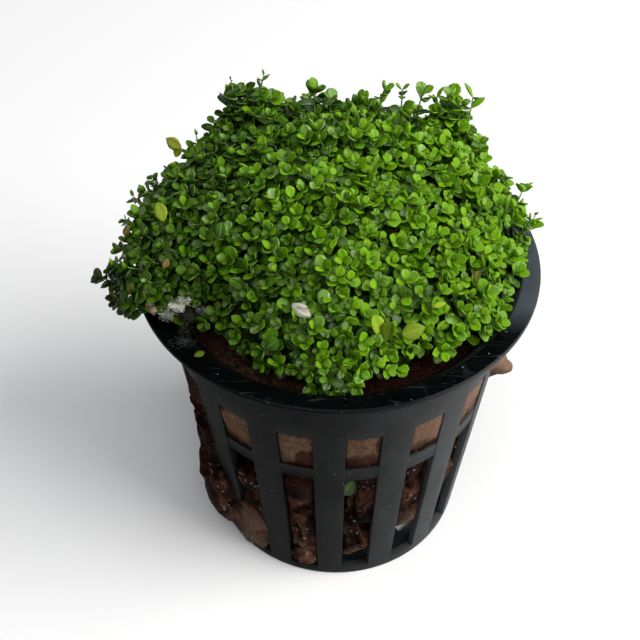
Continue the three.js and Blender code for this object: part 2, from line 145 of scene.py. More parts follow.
# Clumps of stems: CAD node's name after tuft_, its middle, and how far it stands above the dome
TUFTS_MM = (
    ("back_left", (-14, 13.5), 1.0), ("back_middle", (-2.5, 17), -1.9),
    ("back_right", (8.5, 16.5), -3.2), ("far_right", (17.4, 13.2), 0.7),
    ("left", (-22, 2), 0), ("middle_left", (-11, 2), 0.3),
    ("crown", (0.5, 5), 0.8), ("middle_right", (11.5, 3.5), 0.3),
    ("right", (21.5, 2), 0), ("left_rim", (-23.5, -7.5), 0.3),
    ("front_left", (-12.5, -8.5), 0.3), ("front_middle", (-1.5, -7.5), 0),
    ("front_right", (9.2, -9.5), 0.3), ("right_rim", (18.5, -8), 0),
    ("front_rim", (-0.5, -18), 0.3),
)

# Shoots that stand clear: clump, foot in plan, tip, leaf length, pairs, leaf kind
SHOOTS_MM = (
    ("back_left", (-12.0, 14), (-10.1, 14.4, 68.8), 1.6, 6, "slender"),
    ("back_left", (-14.6, 14), (-14.5, 14.2, 68.2), 1.2, 4, "slender"),
    ("back_left", (-15.2, 14.4), (-15, 14.8, 65.0), 2.3, 6, "round"),
    ("back_left", (-14.2, 14.4), (-13.8, 14.6, 66.0), 2.2, 6, "round"),
    ("back_left", (-12.6, 14.4), (-12.7, 14.6, 66.2), 2.3, 6, "round"),
    ("back_left", (-9.6, 15.2), (-9.2, 15.2, 64.6), 2.1, 6, "round"),
    ("back_left", (-17.4, 13), (-17.2, 13.4, 61.8), 2.1, 5, "round"),
    ("back_left", (-19.8, 10), (-19.4, 10.9, 61.6), 1.4, 4, "slender"),
    ("back_middle", (-3, 17), (-3.4, 17, 64.8), 2.4, 6, "round"),
    ("back_middle", (-1.4, 17), (-1.2, 17.2, 63.4), 1.9, 5, "round"),
    ("back_right", (3.6, 17), (4.0, 17, 62.4), 1.9, 5, "round"),
    ("back_right", (5.6, 17), (6.3, 17.4, 64.6), 2.0, 4, "round"),
    ("back_right", (8.6, 17), (8.6, 16.8, 65.2), 1.9, 4, "round"),
    ("back_right", (9.4, 16), (9.8, 16, 61.6), 1.9, 4, "round"),
    ("back_right", (11, 17), (11.5, 16.8, 64.7), 2.4, 4, "round"),
    ("far_right", (14.0, 16), (13.4, 16.6, 64.0), 2.5, 4, "slender"),
    ("far_right", (15.4, 15.4), (15.2, 16, 64.6), 2.4, 5, "round"),
    ("far_right", (16.6, 15), (16.8, 15.4, 63.8), 2.1, 6, "round"),
    ("far_right", (17.6, 15), (18.2, 15.6, 64.8), 2.9, 4, "slender"),
    ("far_right", (19, 12), (19.4, 12, 60.2), 1.8, 5, "round"),
    ("right", (21, 6), (22.4, 7.2, 57.9), 2.0, 4, "round"),
    ("right", (23.5, 4.5), (25.0, 5.8, 57.2), 1.9, 4, "round"),
    ("right", (24.6, 2), (26.4, 2.4, 55.2), 1.5, 4, "slender"),
    ("left", (-25.6, 3.6), (-27.4, 3, 57.2), 1.6, 4, "slender"),
    ("left_rim", (-28, -8), (-30.6, -7.7, 52.4), 2.1, 4, "round"),
    ("left_rim", (-26, -10), (-28.4, -10.8, 51.4), 1.9, 4, "round"),
)

# Single leaves that stand out: clump, place of the middle, length, direction of the tip,
# direction of the face, shape, dryness and tint
SINGLE_LEAVES_MM = (
    ("left", (-22.4, -4.5, 61.0), 2.7, (-0.32, 0.7, 0.62), (0, -0.62, 0.78), "oval", 0.2, 0.83),
    (
        "front_right", (9.2, -18.9, 54.9), 3.2, (0.95, 0.26, 0.2), (-0.3, -0.75, 0.55), "lemon",
        0.17, 0.42,
    ),
    ("front_right", (4.5, -19.2, 56.1), 2.4, (-0.3, 0.7, 0.6), (0.5, -0.4, 0.8), "cupped", 0.2, 0.97),
    ("front_right", (6.3, -19.6, 55.4), 2.5, (0.3, 0.7, 0.6), (-0.4, -0.65, 0.6), "cupped", 0.12, 0.42),
    ("front_right", (12.3, -16.2, 56.7), 1.7, (0.95, 0.2, 0.2), (0, -0.6, 0.8), "lance", 0.34, 0.55),
    ("right_rim", (17.6, -10.5, 56), 1.4, (0.4, 0.7, 0.5), (-0.6, -0.5, 0.7), "cupped", 0.6, 0.55),
    ("back_left", (-22.7, 11, 60.2), 2.6, (-0.85, 0.32, 0.35), (-0.2, -0.85, 0.5), "lemon", 0.46, 0.42),
    ("back_left", (-22.2, 11, 58.9), 1.9, (-0.4, -0.5, -0.7), (-0.3, -0.8, 0.5), "oval", 0.3, 0.28),
    ("back_left", (-14.6, 14, 66.6), 2.3, (0.8, 0.3, 0.25), (0.1, -0.7, 0.7), "oval", 0.0, 0.28),
    ("back_right", (13.4, 16, 61.2), 2.3, (0.8, 0.2, 0.5), (0.1, -0.9, 0.4), "oval", 0.0, 0.14),
    ("left", (-26.8, 1.2, 58.1), 1.3, (-0.5, 0.3, -0.6), (-0.3, -0.7, 0.6), "oval", 1.0, 0.28),
    ("left", (-27.6, -3.0, 56.4), 1.4, (-0.4, -0.5, -0.6), (-0.2, -0.8, 0.6), "oval", 0.9, 0.42),
    ("left_rim", (-21.6, -9.6, 56.9), 1.4, (0.4, 0.6, 0.5), (0, -0.7, 0.7), "oval", 0.95, 0.28),
    ("left_rim", (-26.4, -10.6, 53.7), 1.3, (-0.3, -0.6, -0.6), (0, -0.8, 0.6), "oval", 1.0, 0.42),
    ("front_left", (-14.5, -8, 61), 2.1, (0.2, 0.7, 0.66), (0, -0.66, 0.75), "round", 0.0, 0.9),
    ("front_rim", (-1.7, -16.3, 57.9), 2.0, (0.3, 0.7, 0.6), (0.1, -0.66, 0.75), "round", 0.0, 0.95),
    ("front_rim", (-4.5, -19.4, 54.9), 2.1, (-0.5, 0.6, 0.6), (0, -0.66, 0.75), "round", 0.0, 0.8),
    ("front_rim", (-7.8, -20.2, 53.7), 2.0, (0.8, 0.4, 0.4), (0, -0.66, 0.75), "round", 0.0, 1.0),
)

# Loose things, as in the CAD model
HUSK_MM = {"at": (-4.3, -17.6), "size": (2.8, 1.65, 1.25), "sink": 0.1, "turn": -38}
FALLEN_LEAF_MM = {"at": (-17, -19, 50.42), "length": 1.5, "turn": 35}
SLOT_LEAF_MM = {"azimuth": 4.8, "height": 24.2, "length": 4.9, "thickness": 0.3}


# Small helpers

def on_azimuth(azimuth, radius, height):
    """A point at an azimuth, a distance from the pot's axis and a height."""
    turn = math.radians(azimuth)
    return Vector((radius * math.sin(turn), -radius * math.cos(turn), height))


def new_object(name, mesh):
    """An object for a mesh, linked to the scene."""
    thing = bpy.data.objects.new(name, mesh)
    bpy.context.scene.collection.objects.link(thing)
    return thing


def mesh_of(name, points, faces=(), edges=()):
    """A smooth mesh from points with faces or edges."""
    mesh = bpy.data.meshes.new(name)
    mesh.from_pydata([tuple(p) for p in points], edges, faces)
    mesh.validate()
    mesh.shade_smooth()
    return mesh


class Output:
    """An output of a node. Sums with it add Math nodes to its tree."""

    def __init__(self, tree, socket):
        self.tree = tree
        self.socket = socket

    def sum(self, operation, *others):
        return result(
            self.tree, "ShaderNodeMath", dict(enumerate((self, *others))), operation=operation
        )

    def __add__(self, other):
        return self.sum("ADD", other)

    def __sub__(self, other):
        return self.sum("SUBTRACT", other)

    def __rsub__(self, other):
        return self * -1 + other

    def __mul__(self, other):
        return self.sum("MULTIPLY", other)

    def __truediv__(self, other):
        return self.sum("DIVIDE", other)

    def band(self, from_low, from_high, to_low=0, to_high=1, kind="LINEAR"):
        """The number carried from one range to another, and held inside it."""
        inputs = {
            "Value": self, "From Min": from_low, "From Max": from_high, "To Min": to_low,
            "To Max": to_high,
        }
        return result(self.tree, "ShaderNodeMapRange", inputs, interpolation_type=kind)


def feed(socket, value):
    """Links or sets one input."""
    if isinstance(value, Output):
        value = value.socket
    if isinstance(value, bpy.types.NodeSocket):
        socket.id_data.links.new(value, socket)
    else:
        socket.default_value = value


def add_node(tree, kind, inputs=None, **settings):
    """Adds a node, sets its options, and links or sets the inputs that are given."""
    node = tree.nodes.new(kind)
    for key, value in settings.items():
        setattr(node, key, value)
    for key, value in (inputs or {}).items():
        feed(node.inputs[key], value)
    return node


def result(tree, kind, inputs=None, output=0, **settings):
    """One output of a new node."""
    return Output(tree, add_node(tree, kind, inputs, **settings).outputs[output])


def new_tree(name, **sockets):
    """A geometry node tree with one geometry in and out, and its named inputs."""
    tree = bpy.data.node_groups.new(name, "GeometryNodeTree")
    tree.interface.new_socket("Geometry", in_out="OUTPUT", socket_type="NodeSocketGeometry")
    tree.interface.new_socket("Geometry", in_out="INPUT", socket_type="NodeSocketGeometry")
    for label, kind in sockets.items():
        label = label.replace("_", " ")
        tree.interface.new_socket(label, in_out="INPUT", socket_type="NodeSocket" + kind)
    given = tree.nodes.new("NodeGroupInput").outputs
    return tree, {socket.name: Output(tree, socket) for socket in given}


def grown_mesh(tree, start, values):
    """The plain mesh that a tree makes from a mesh with these input values."""
    base = new_object("start", start)
    modifier = base.modifiers.new(tree.name, "NODES")
    modifier.node_group = tree
    for item in tree.interface.items_tree:
        if item.in_out == "INPUT" and item.name in values:
            modifier[item.identifier] = values[item.name]
    bpy.context.view_layer.update()
    graph = bpy.context.evaluated_depsgraph_get()
    mesh = bpy.data.meshes.new_from_object(
        base.evaluated_get(graph), preserve_all_data_layers=True, depsgraph=graph
    )
    base.modifiers.remove(modifier)
    bpy.data.objects.remove(base)
    return mesh


def random_value(tree, low, high, seed, data_type="FLOAT"):
    """A random number, vector or whole number for each element."""
    first = {"FLOAT_VECTOR": 0, "FLOAT": 2, "INT": 4}[data_type]
    inputs = {first: low, first + 1: high, "Seed": seed}
    return result(tree, "FunctionNodeRandomValue", inputs, first // 2, data_type=data_type)


def store(tree, geometry, name, value, domain="POINT", data_type="FLOAT"):
    """Stores a value on the geometry under a name."""
    return result(
        tree, "GeometryNodeStoreNamedAttribute",
        {"Geometry": geometry, "Name": name, "Value": value}, domain=domain, data_type=data_type,
    )


def named(tree, name, data_type="FLOAT"):
    """Reads a stored value."""
    return result(tree, "GeometryNodeInputNamedAttribute", {"Name": name}, data_type=data_type)


def scaled(tree, vector, factor):
    """A vector times a number."""
    return result(tree, "ShaderNodeVectorMath", {0: vector, "Scale": factor}, operation="SCALE")


def turned(tree, rotation, axis, angle):
    """A rotation turned further about one of its own axes."""
    by = result(tree, "FunctionNodeAxisAngleToRotation", {"Axis": axis, "Angle": angle})
    return result(
        tree, "FunctionNodeRotateRotation", {"Rotation": rotation, "Rotate By": by},
        rotation_space="LOCAL",
    )


def scattered(tree, points, collection, count, seed, rotation, scale):
    """One random member of a collection on each point."""
    members = result(tree, "GeometryNodeCollectionInfo", {
        "Collection": collection, "Separate Children": True, "Reset Children": True,
    })
    return result(tree, "GeometryNodeInstanceOnPoints", {
        "Points": points, "Instance": members, "Pick Instance": True,
        "Instance Index": random_value(tree, 0, count - 1, seed, "INT"),
        "Rotation": rotation, "Scale": scale,
    })


def tube(tree, path, sides, radius, **more):
    """A round stem or fibre along a path, its ends closed."""
    section = result(
        tree, "GeometryNodeCurvePrimitiveCircle", {"Resolution": sides, "Radius": radius}
    )
    inputs = {"Curve": path, "Profile Curve": section, "Fill Caps": True, **more}
    return result(tree, "GeometryNodeCurveToMesh", inputs)


def end_tree(tree, geometry, *finishes):
    """Ends a tree with real geometry and its materials, each with what it goes on."""
    geometry = result(tree, "GeometryNodeRealizeInstances", {"Geometry": geometry})
    for material, selection in finishes:
        geometry = result(tree, "GeometryNodeSetMaterial", {
            "Geometry": geometry, "Selection": selection, "Material": material,
        })
    add_node(tree, "NodeGroupOutput", {"Geometry": geometry})
    return tree


def joined(name, meshes):
    """One object from several meshes, their materials and attributes kept."""
    things = [new_object(name, mesh) for mesh in meshes]
    with bpy.context.temp_override(
        active_object=things[0], object=things[0], selected_objects=things,
        selected_editable_objects=things,
    ):
        bpy.ops.object.join()
    things[0].name = name
    things[0].data.name = name
    return things[0]


def set_attribute(mesh, name, values, data_type="FLOAT"):
    """Sets one number, or one vector, for each point of a mesh."""
    layer = mesh.attributes.new(name, data_type, "POINT")
    key = "value" if data_type == "FLOAT" else "vector"
    layer.data.foreach_set(key, np.asarray(values, np.float32).ravel())


def finish_piece(piece, slot, *nodes):
    """Attaches a finished piece to its body and hides the CAD nodes that it stands for. Its slot is not
    used.
    """
    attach(piece, BODY)
    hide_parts(*nodes)


def remove_helpers(collection):
    """Deletes a collection and its helper objects."""
    for thing in list(collection.objects):
        bpy.data.objects.remove(thing)
    bpy.data.collections.remove(collection)


def helper_collection(name, meshes):
    """Meshes by name as helper objects in a collection, out of the scene."""
    collection = bpy.data.collections.new(name)
    for label, mesh in meshes.items():
        collection.objects.link(bpy.data.objects.new(label, mesh))
    return collection


def ball_mesh(name, subdivisions, moved):
    """A smooth ball of radius 1, each of its points moved by a function."""
    bm = bmesh.new()
    bmesh.ops.create_icosphere(bm, subdivisions=subdivisions, radius=1)
    for vertex in bm.verts:
        vertex.co = moved(vertex.co)
    bmesh.ops.recalc_face_normals(bm, faces=bm.faces)
    mesh = bpy.data.meshes.new(name)
    bm.to_mesh(mesh)
    bm.free()
    mesh.shade_smooth()
    return mesh


def ring_faces(low, high, count):
    """Faces from one closed ring of points to the next, by the number of each ring's first."""
    after = [*range(1, count), 0]
    return [[low + i, high + i, high + after[i], low + after[i]] for i in range(count)]


# Materials

def wire(shader, **values):
    """Links or sets inputs of a shader, named with _ for each space."""
    for name, value in values.items():
        feed(shader.inputs[name.replace("_", " ")], value)


def new_material(name, **constants):
    """A material, its node tree and its shader."""
    material = bpy.data.materials.new(name)
    material.use_nodes = True
    shader = material.node_tree.nodes["Principled BSDF"]
    wire(shader, **constants)
    return material, material.node_tree, shader


def parts_of(tree, vector):
    """The three numbers of a vector."""
    parts = add_node(tree, "ShaderNodeSeparateXYZ", {0: vector}).outputs
    return [Output(tree, part) for part in parts]


def object_place(tree):
    """The place on a piece, and its x, y and z in millimetres."""
    place = result(tree, "ShaderNodeTexCoord", output="Object")
    return place, *parts_of(tree, scaled(tree, place, 1 / MM))


def mixed(tree, amount, first, second, blend="MIX"):
    """Two colours mixed, or multiplied and so on."""
    colours = [c if isinstance(c, Output) else (*c[:3], 1) for c in (first, second)]
    inputs = {0: amount, 6: colours[0], 7: colours[1]}
    return result(tree, "ShaderNodeMix", inputs, 2, data_type="RGBA", blend_type=blend)


def layered(tree, colour, *layers):
    """A colour under layers of other colours, each with how much of it shows."""
    for amount, top in layers:
        colour = mixed(tree, amount, colour, top)
    return colour


def noise_value(tree, place, scale, detail=3, roughness=0.5, stretch=None, distortion=0):
    """Noise at a scale, stretched along an axis if asked."""
    if stretch:
        place = result(tree, "ShaderNodeMapping", {"Vector": place, "Scale": stretch})
    return result(tree, "ShaderNodeTexNoise", {
        "Vector": place, "Scale": scale, "Detail": detail, "Roughness": roughness,
        "Distortion": distortion,
    })


def bump(tree, shader, height, strength, distance):
    """Small relief from a height."""
    inputs = {"Height": height, "Strength": strength, "Distance": distance}
    wire(shader, Normal=result(tree, "ShaderNodeBump", inputs))


def attribute(tree, name):
    return result(tree, "ShaderNodeAttribute", output="Fac", attribute_name=name)


def ramp(tree, amount, *stops):
    """A colour ramp from (place, colour) stops."""
    node = add_node(tree, "ShaderNodeValToRGB", {"Fac": amount})
    elements = node.color_ramp.elements
    while len(elements) < len(stops):
        elements.new(0.5)
    for element, (place, colour) in zip(elements, stops):
        element.position = place
        element.color = (*colour[:3], 1)
    return Output(tree, node.outputs[0])


def leaf_material(look):
    """Glossy small leaves, from deep green to young yellow-green, some dry, with painted light, shade
    and sheen.
    """
    material, tree, shader = new_material(
        "glossy_leaf", Subsurface_Weight=look.translucence, Subsurface_Scale=0.4 * MM,
        Subsurface_Radius=(0.4, 1.0, 0.15),
    )
    across, along, _ = parts_of(tree, result(tree, "ShaderNodeUVMap"))
    place, x, y, z = object_place(tree)
    tint, age, dry = (attribute(tree, name) for name in ("tint", "age", "dry"))
    waxy = (tint * 7.3).sum("FRACT")

    # How light the leaf is: its own patches, then painted light and shade by its place on the cushion,
    # then its age
    shade = noise_value(tree, place, 130, 2) * 0.9 + (tint * 1.15 - 0.63)
    # Painted shade to the left and painted light to the right
    painted_light_left_to_right = x.band(-17.5, 2, -0.6, 0.17) + x.band(4, 16, 0, 0.12)
    # Painted shade towards the front
    front = y.band(-23, -8, -0.28, 0)
    # Painted shade at the back, fading out to the right
    painted_shade_back = y.band(1, 12, 0, 0.38) * x.band(9, 0)
    # Painted light high up on the left
    painted_light_high_left = z.band(61, 65, 0, 0.36) * x.band(-4, -9)
    shade = shade + painted_light_left_to_right + front - painted_shade_back + painted_light_high_left
    # Older leaves darker, and painted shade towards each leaf's base
    shade = shade - (age.band(0.35, 0.9) * 0.16 + along.band(0, 0.8, 0.32, -0.04))
    green = ramp(
        tree, shade, (0.1, look.deep_green), (0.45, look.leaf_green), (0.85, look.bright_green)
    )
    young = age.band(0, 0.45, 0.75, 0) * shade.band(-0.2, 0.5, 0.25, 1)

    # Midrib, margin and side veins, from 0 at the midrib to 1 at the margin
    from_midrib = (across * 2 - 1).sum("ABSOLUTE")
    veins = ((from_midrib * -0.55 + along) * 38).sum("SINE").band(0.7, 1, 0, 0.2)
    midrib = from_midrib.band(0.16, 0, 0, 0.5)
    margin = from_midrib.band(0.72, 1, 0, 0.4)
    lines = veins.sum("MAXIMUM", midrib.sum("MAXIMUM", margin))

    dry_shade = noise_value(tree, place, 1600) * 0.5 + (dry - 0.25)
    dry_colour = ramp(
        tree, dry_shade, (0.3, look.yellow_leaf), (0.6, look.ochre_leaf), (0.95, look.dead_leaf)
    )
    # Painted shade on the leaves that hang low over the left rim
    painted_shade_left_rim = x.band(-25.5, -28.5, 0, 0.85) * z.band(56.5, 53)
    colour = layered(
        tree, green, (young, look.young_green), (lines, look.vein_green),
        # Pale waxy leaves, their pale colour partly painted sheen
        (waxy.band(0.78, 1, 0, 0.4), look.painted_sheen_green),
        (dry.band(0.05, 0.3), mixed(tree, lines, dry_colour, look.dry_vein)),
        (painted_shade_left_rim, look.rim_shade_green),
    )
    wire(
        shader, Base_Color=colour,
        Roughness=noise_value(tree, place, 900, 2).band(0.3, 0.7, 0.24, 0.44),
        Specular_IOR_Level=waxy.sum("POWER", 2).band(0, 1, 0.1, look.gloss),
    )
    bump(tree, shader, noise_value(tree, place, 2600, 2) - lines, 0.35, 0.06 * MM)
    return material


def stem_material(look):
    """Thin stems, patchy from brown through green to pale."""
    material, tree, shader = new_material("stem", Roughness=0.45)
    place = object_place(tree)[0]
    tone = noise_value(tree, place, 700) * 0.9 + attribute(tree, "tint")
    wire(shader, Base_Color=ramp(
        tree, tone * 0.6, (0.15, look.brown_stem), (0.5, look.green_stem), (0.9, look.pale_stem)
    ))
    bump(tree, shader, noise_value(tree, place, 4000, 2), 0.3, 0.04 * MM)
    return material


def tangle_material(look):
    """The mat of old stems and shed leaves under the foliage, near-black as painted shade deep in the
    cushion.
    """
    material, tree, shader = new_material(
        "shaded_stems", Roughness=0.8, Specular_IOR_Level=0.05
    )
    strands = noise_value(tree, object_place(tree)[0], 900, 4, 0.65, (1, 1, 0.25), 0.8)
    wire(shader, Base_Color=ramp(
        tree, strands, (0.3, look.tangle_painted_shade), (0.55, look.tangle_green), (0.72, look.brown_stem)
    ))
    bump(tree, shader, strands, 0.8, 0.4 * MM)
    return material


def plastic_material(pot):
    """Black moulded plastic with fine scratches, dull marks and pale specks, with painted light on its
    right side, a painted shadow under the lip and a painted reflection on the lip's right.
    """
    material, tree, shader = new_material("black_plastic")
    place, x, y, z = object_place(tree)
    top = pot.height / MM
    side = y * 0.25 + x
    on_lip = z.band(top - 0.22, top - 0.06)
    # Painted reflection on the lip's right part
    lip_reflection_patch = x.band(12, 19) * y.band(-14.5, -9.5)
    # Painted shadow under the lip, towards the front and the left
    under_lip = z.band(top - 4, top - 1.4, 0, 0.5) * side.band(14, 4)
    cloud = noise_value(tree, place, 90, 4, 0.6)
    scratch = noise_value(tree, place, 1500, 4, 0.6, (0.18, 1, 1.4), 1.2).band(0.6, 0.7)
    speck = noise_value(tree, place, 2300, 1).band(0.775, 0.82)
    waves = {"Vector": place, "Scale": 46, "Distortion": 9, "Detail": 3, "Detail Scale": 1.4}
    water_mark = result(tree, "ShaderNodeTexWave", waves, "Fac", wave_profile="SIN")
    dulled = water_mark.band(0.93, 1) * cloud.band(0.48, 0.6) * side.band(2, 12)
    # Painted light: the plastic greys towards the right
    black = layered(
        tree, pot.plastic, (side.band(-12, 23, kind="SMOOTHSTEP"), pot.painted_light_plastic),
        (under_lip, pot.lip_black_and_shadow), (on_lip, mixed(tree, lip_reflection_patch, pot.lip_black_and_shadow, pot.painted_lip_reflection)),
    )
    cloudy = mixed(tree, 1.0, black, (1.7, 1.75, 1.8), "MULTIPLY")
    colour = layered(
        tree, black, (cloud.band(0.35, 0.7), cloudy), (scratch * 0.35, pot.scratch),
        (dulled * 0.3, pot.scratch), (speck, pot.speck),
    )
    rough = cloud.band(0.3, 0.75, pot.roughness - 0.08, pot.roughness + 0.1)
    wire(
        shader, Base_Color=colour,
        Roughness=rough + on_lip * -0.16 + scratch.sum("MAXIMUM", dulled) * 0.2,
        Specular_IOR_Level=on_lip.band(0, 1, pot.gloss, pot.lip_gloss),
    )
    grain = scratch * -0.6 + noise_value(tree, place, 5000, 2)
    bump(tree, shader, grain, 0.25, 0.03 * MM)
    return material


def fold_shade(tree, place, x, y, z):
    """How deep a point lies in one of the wool's folds above the ring, where shade is painted, from 0 to
    1.
    """
    azimuth = x.sum("ARCTAN2", y * -1)
    ragged = noise_value(tree, place, 700) * 0.9 - 0.45
    deepest = 0.0
    for middle, height, half_angle, half_height in FOLD_SHADE_MM:
        across = (azimuth - math.radians(middle)) / math.radians(half_angle)
        up = (z - height) / half_height
        apart = across * across + up * up + ragged
        deepest = apart.band(1.25, 0.75).sum("MAXIMUM", deepest)
    return deepest


def wool_material(plug):
    """Wet mineral wool: tan and fibrous above the shoulder, dark and glossy below, with shade painted in
    its pockets, in its folds, round the ring, on its left side and on its top.
    """
    material, tree, shader = new_material("wet_wool", Specular_IOR_Level=plug.glint)
    place, x, y, z = object_place(tree)
    lumps = noise_value(tree, place, 190)
    fibres = noise_value(tree, place, 1500, 5, 0.7, (1, 1, 1.5), 1.2)
    grain = noise_value(tree, place, 5200, 3, 0.7)
    soft = noise_value(tree, place, 420, 4, 0.6, (1, 1, 0.6), 0.8)
    wavy_height = lumps * 7 + z

    # Near-black patches: painted shade of pockets in the wet wool
    dark = ramp(tree, soft, (0.43, plug.black), (0.54, plug.shadow), (0.71, plug.red_brown))
    low_lumps = lumps.band(0.46, 0.6) * z.band(16.5, 11, 0, 0.6) * x.band(-17.2, -14.2)
    # Painted shade round the ring: the tops of the tall slots and the bottoms of the windows
    painted_wool_shade = (soft * 12 + z).band(27.5, 33.5, 0, 0.85)
    dark = layered(tree, dark, (low_lumps, plug.orange), (painted_wool_shade, plug.painted_wool_shade))

    tan = ramp(
        tree, fibres * 0.55 + grain * 0.45,
        (0.36, plug.shadow), (0.5, plug.brown), (0.7, plug.tan),
    )
    # Painted shade in the folds above the ring
    folds = fold_shade(tree, place, x, y, z) * 0.9
    tan = layered(tree, tan, (x.band(7, 23.5, 0, 0.85), plug.pink_tan), (folds, plug.fold))

    # Painted shade: the plug's top under the leaves is near-black
    top = ramp(tree, grain, (0.45, plug.black), (0.62, plug.shadow), (0.8, plug.red_brown))
    pale_patch = x.band(0, -12) * x.band(-17, -11, 0.1, 1) * fibres.band(0.42, 0.62, 0, 0.7)
    top = mixed(tree, pale_patch, top, plug.brown)
    # Painted shade on the wool's left side
    colour = layered(
        tree, dark, (wavy_height.band(35.5, 38), tan), (x.band(-17.6, -19, 0, 0.8), plug.painted_wool_shade),
        (z.band(45.5, 46.8), top),
    )

    dry_top = wavy_height.band(33.5, 38)
    clusters = noise_value(tree, place, 260, 2).band(0.48, 0.55)
    beads = noise_value(tree, place, 1500, 3, 0.65).band(0.6, 0.63) * clusters
    beads = beads * dry_top.band(0, 1, 1, 0.15)
    wire(
        shader, Base_Color=colour, IOR=beads.band(0, 1, 1.02, 1.5),
        Roughness=beads * -0.26 + dry_top.band(0, 1, 0.34, 0.7),
    )
    relief = (fibres * 1.2 + grain) * dry_top + beads * 0.7 + soft * 0.3
    bump(tree, shader, relief, 0.7, 0.2 * MM)
    return material


# Settings

def colour_setting(name, description, default):
    return bpy.props.FloatVectorProperty(
        name=name, description=description, default=default, subtype="COLOR", size=3, min=0, max=1
    )


def share_setting(name, description, default):
    return bpy.props.FloatProperty(
        name=name, description=description, default=default, min=0, max=1
    )


def count_setting(name, description, default, least):
    return bpy.props.IntProperty(name=name, description=description, default=default, min=least)


def angle_setting(name, description, degrees):
    return bpy.props.FloatProperty(
        name=name, description=description, default=math.radians(degrees), subtype="ANGLE"
    )


def amount_setting(name, description, default):
    return bpy.props.FloatProperty(name=name, description=description, default=default, min=0)


def length_setting(name, description, default):
    return bpy.props.FloatProperty(
        name=name, description=description, default=default, unit="LENGTH", min=0, precision=5
    )


class PotSettings(bpy.types.PropertyGroup):
    """Sizes and finish of the net pot."""
    height: length_setting("Height", "From the base to the top of the lip", POT_HIGH.z)
    lip_radius: length_setting("Lip radius", "Outside radius of the lip", POT_HIGH.x)
    mouth_radius: length_setting("Mouth radius", "Inner edge of the flat lip", 24.9 * MM)
    lip_face: length_setting("Lip face", "Height of the lip's outer face", 0.9 * MM)
    flare: length_setting("Flare", "Height over which the wall spreads into the lip", 2.2 * MM)
    foot_radius: length_setting("Foot radius", "Outside radius at the base", 19.95 * MM)
    rim_radius: length_setting("Rim radius", "Where the wall would meet the top", 24.55 * MM)
    wall: length_setting("Wall", "Thickness of the wall", 1.1 * MM)
    floor: length_setting("Floor", "Thickness of the base", 1.3 * MM)
    ring_recess: length_setting("Ring recess", "How far the rings lie behind the ribs", 0.16 * MM)
    bevel: length_setting("Bevel", "Rounding of the moulded edges", 0.16 * MM)
    roughness: share_setting("Roughness", "Dullness of the plastic", 0.4)
    gloss: share_setting("Gloss", "Strength of the wall's shine", 0.012)
    lip_gloss: share_setting("Lip gloss", "Strength of the lip's shine", 0.1)
    plastic: colour_setting("Plastic", "Black plastic", (0.0065, 0.0068, 0.007))
    # Painted light: greyer plastic on the right
    painted_light_plastic: colour_setting("Dull plastic", "Greyer plastic on the right", (0.045, 0.046, 0.047))
    # Near-black lip top, also painted as the shadow under the lip
    lip_black_and_shadow: colour_setting("Lip plastic", "Polished top of the lip", (0.0004, 0.0009, 0.0009))
    # Painted reflection: greyer lip on the right
    painted_lip_reflection: colour_setting("Dull lip", "Greyer lip on the right", (0.03, 0.037, 0.042))
    scratch: colour_setting("Scratch", "Scratches and dried marks", (0.05, 0.055, 0.06))
    speck: colour_setting("Speck", "Pale specks of dirt", (0.3, 0.3, 0.28))


class PlugSettings(bpy.types.PropertyGroup):
    """Shape and colours of the wool plug."""
    divisions: count_setting("Divisions", "Points across one slot", 16, 4)
    levels: count_setting("Levels", "Rings of points up the side", 84, 8)
    hollow: length_setting("Hollow", "Depth of the hollows low in the pot", 3.2 * MM)
    lump: length_setting("Lump", "Height of the wool's lumps", 0.45 * MM)
    fibre: length_setting("Fibre", "Height of the wool's fibres", 0.12 * MM)
    glint: share_setting("Glint", "Strength of the shine on wet grains", 0.9)
    # Painted shade of the wool's pockets and of the plug's top
    black: colour_setting("Black", "Soaked hollows", (0.003, 0.0015, 0.0012))
    shadow: colour_setting("Shadow", "Dark wet wool", (0.024, 0.0095, 0.006))
    # Painted shade: dark wool round the ring and on the left side
    painted_wool_shade: colour_setting("Soaked", "Wool below the ring", (0.012, 0.0035, 0.002))
    red_brown: colour_setting("Red-brown", "Wet wool", (0.098, 0.043, 0.026))
    brown: colour_setting("Brown", "Damp wool", (0.1, 0.058, 0.035))
    tan: colour_setting("Tan", "Wool's fibres in the light", (0.22, 0.142, 0.092))
    orange: colour_setting("Orange", "Lumps low in the pot", (0.125, 0.078, 0.055))
    pink_tan: colour_setting("Pinkish tan", "Wool squeezed out on the right", (0.26, 0.165, 0.115))
    # Painted shade in the wool's folds above the ring
    fold: colour_setting("Fold", "Dark folds above the ring", (0.03, 0.014, 0.009))


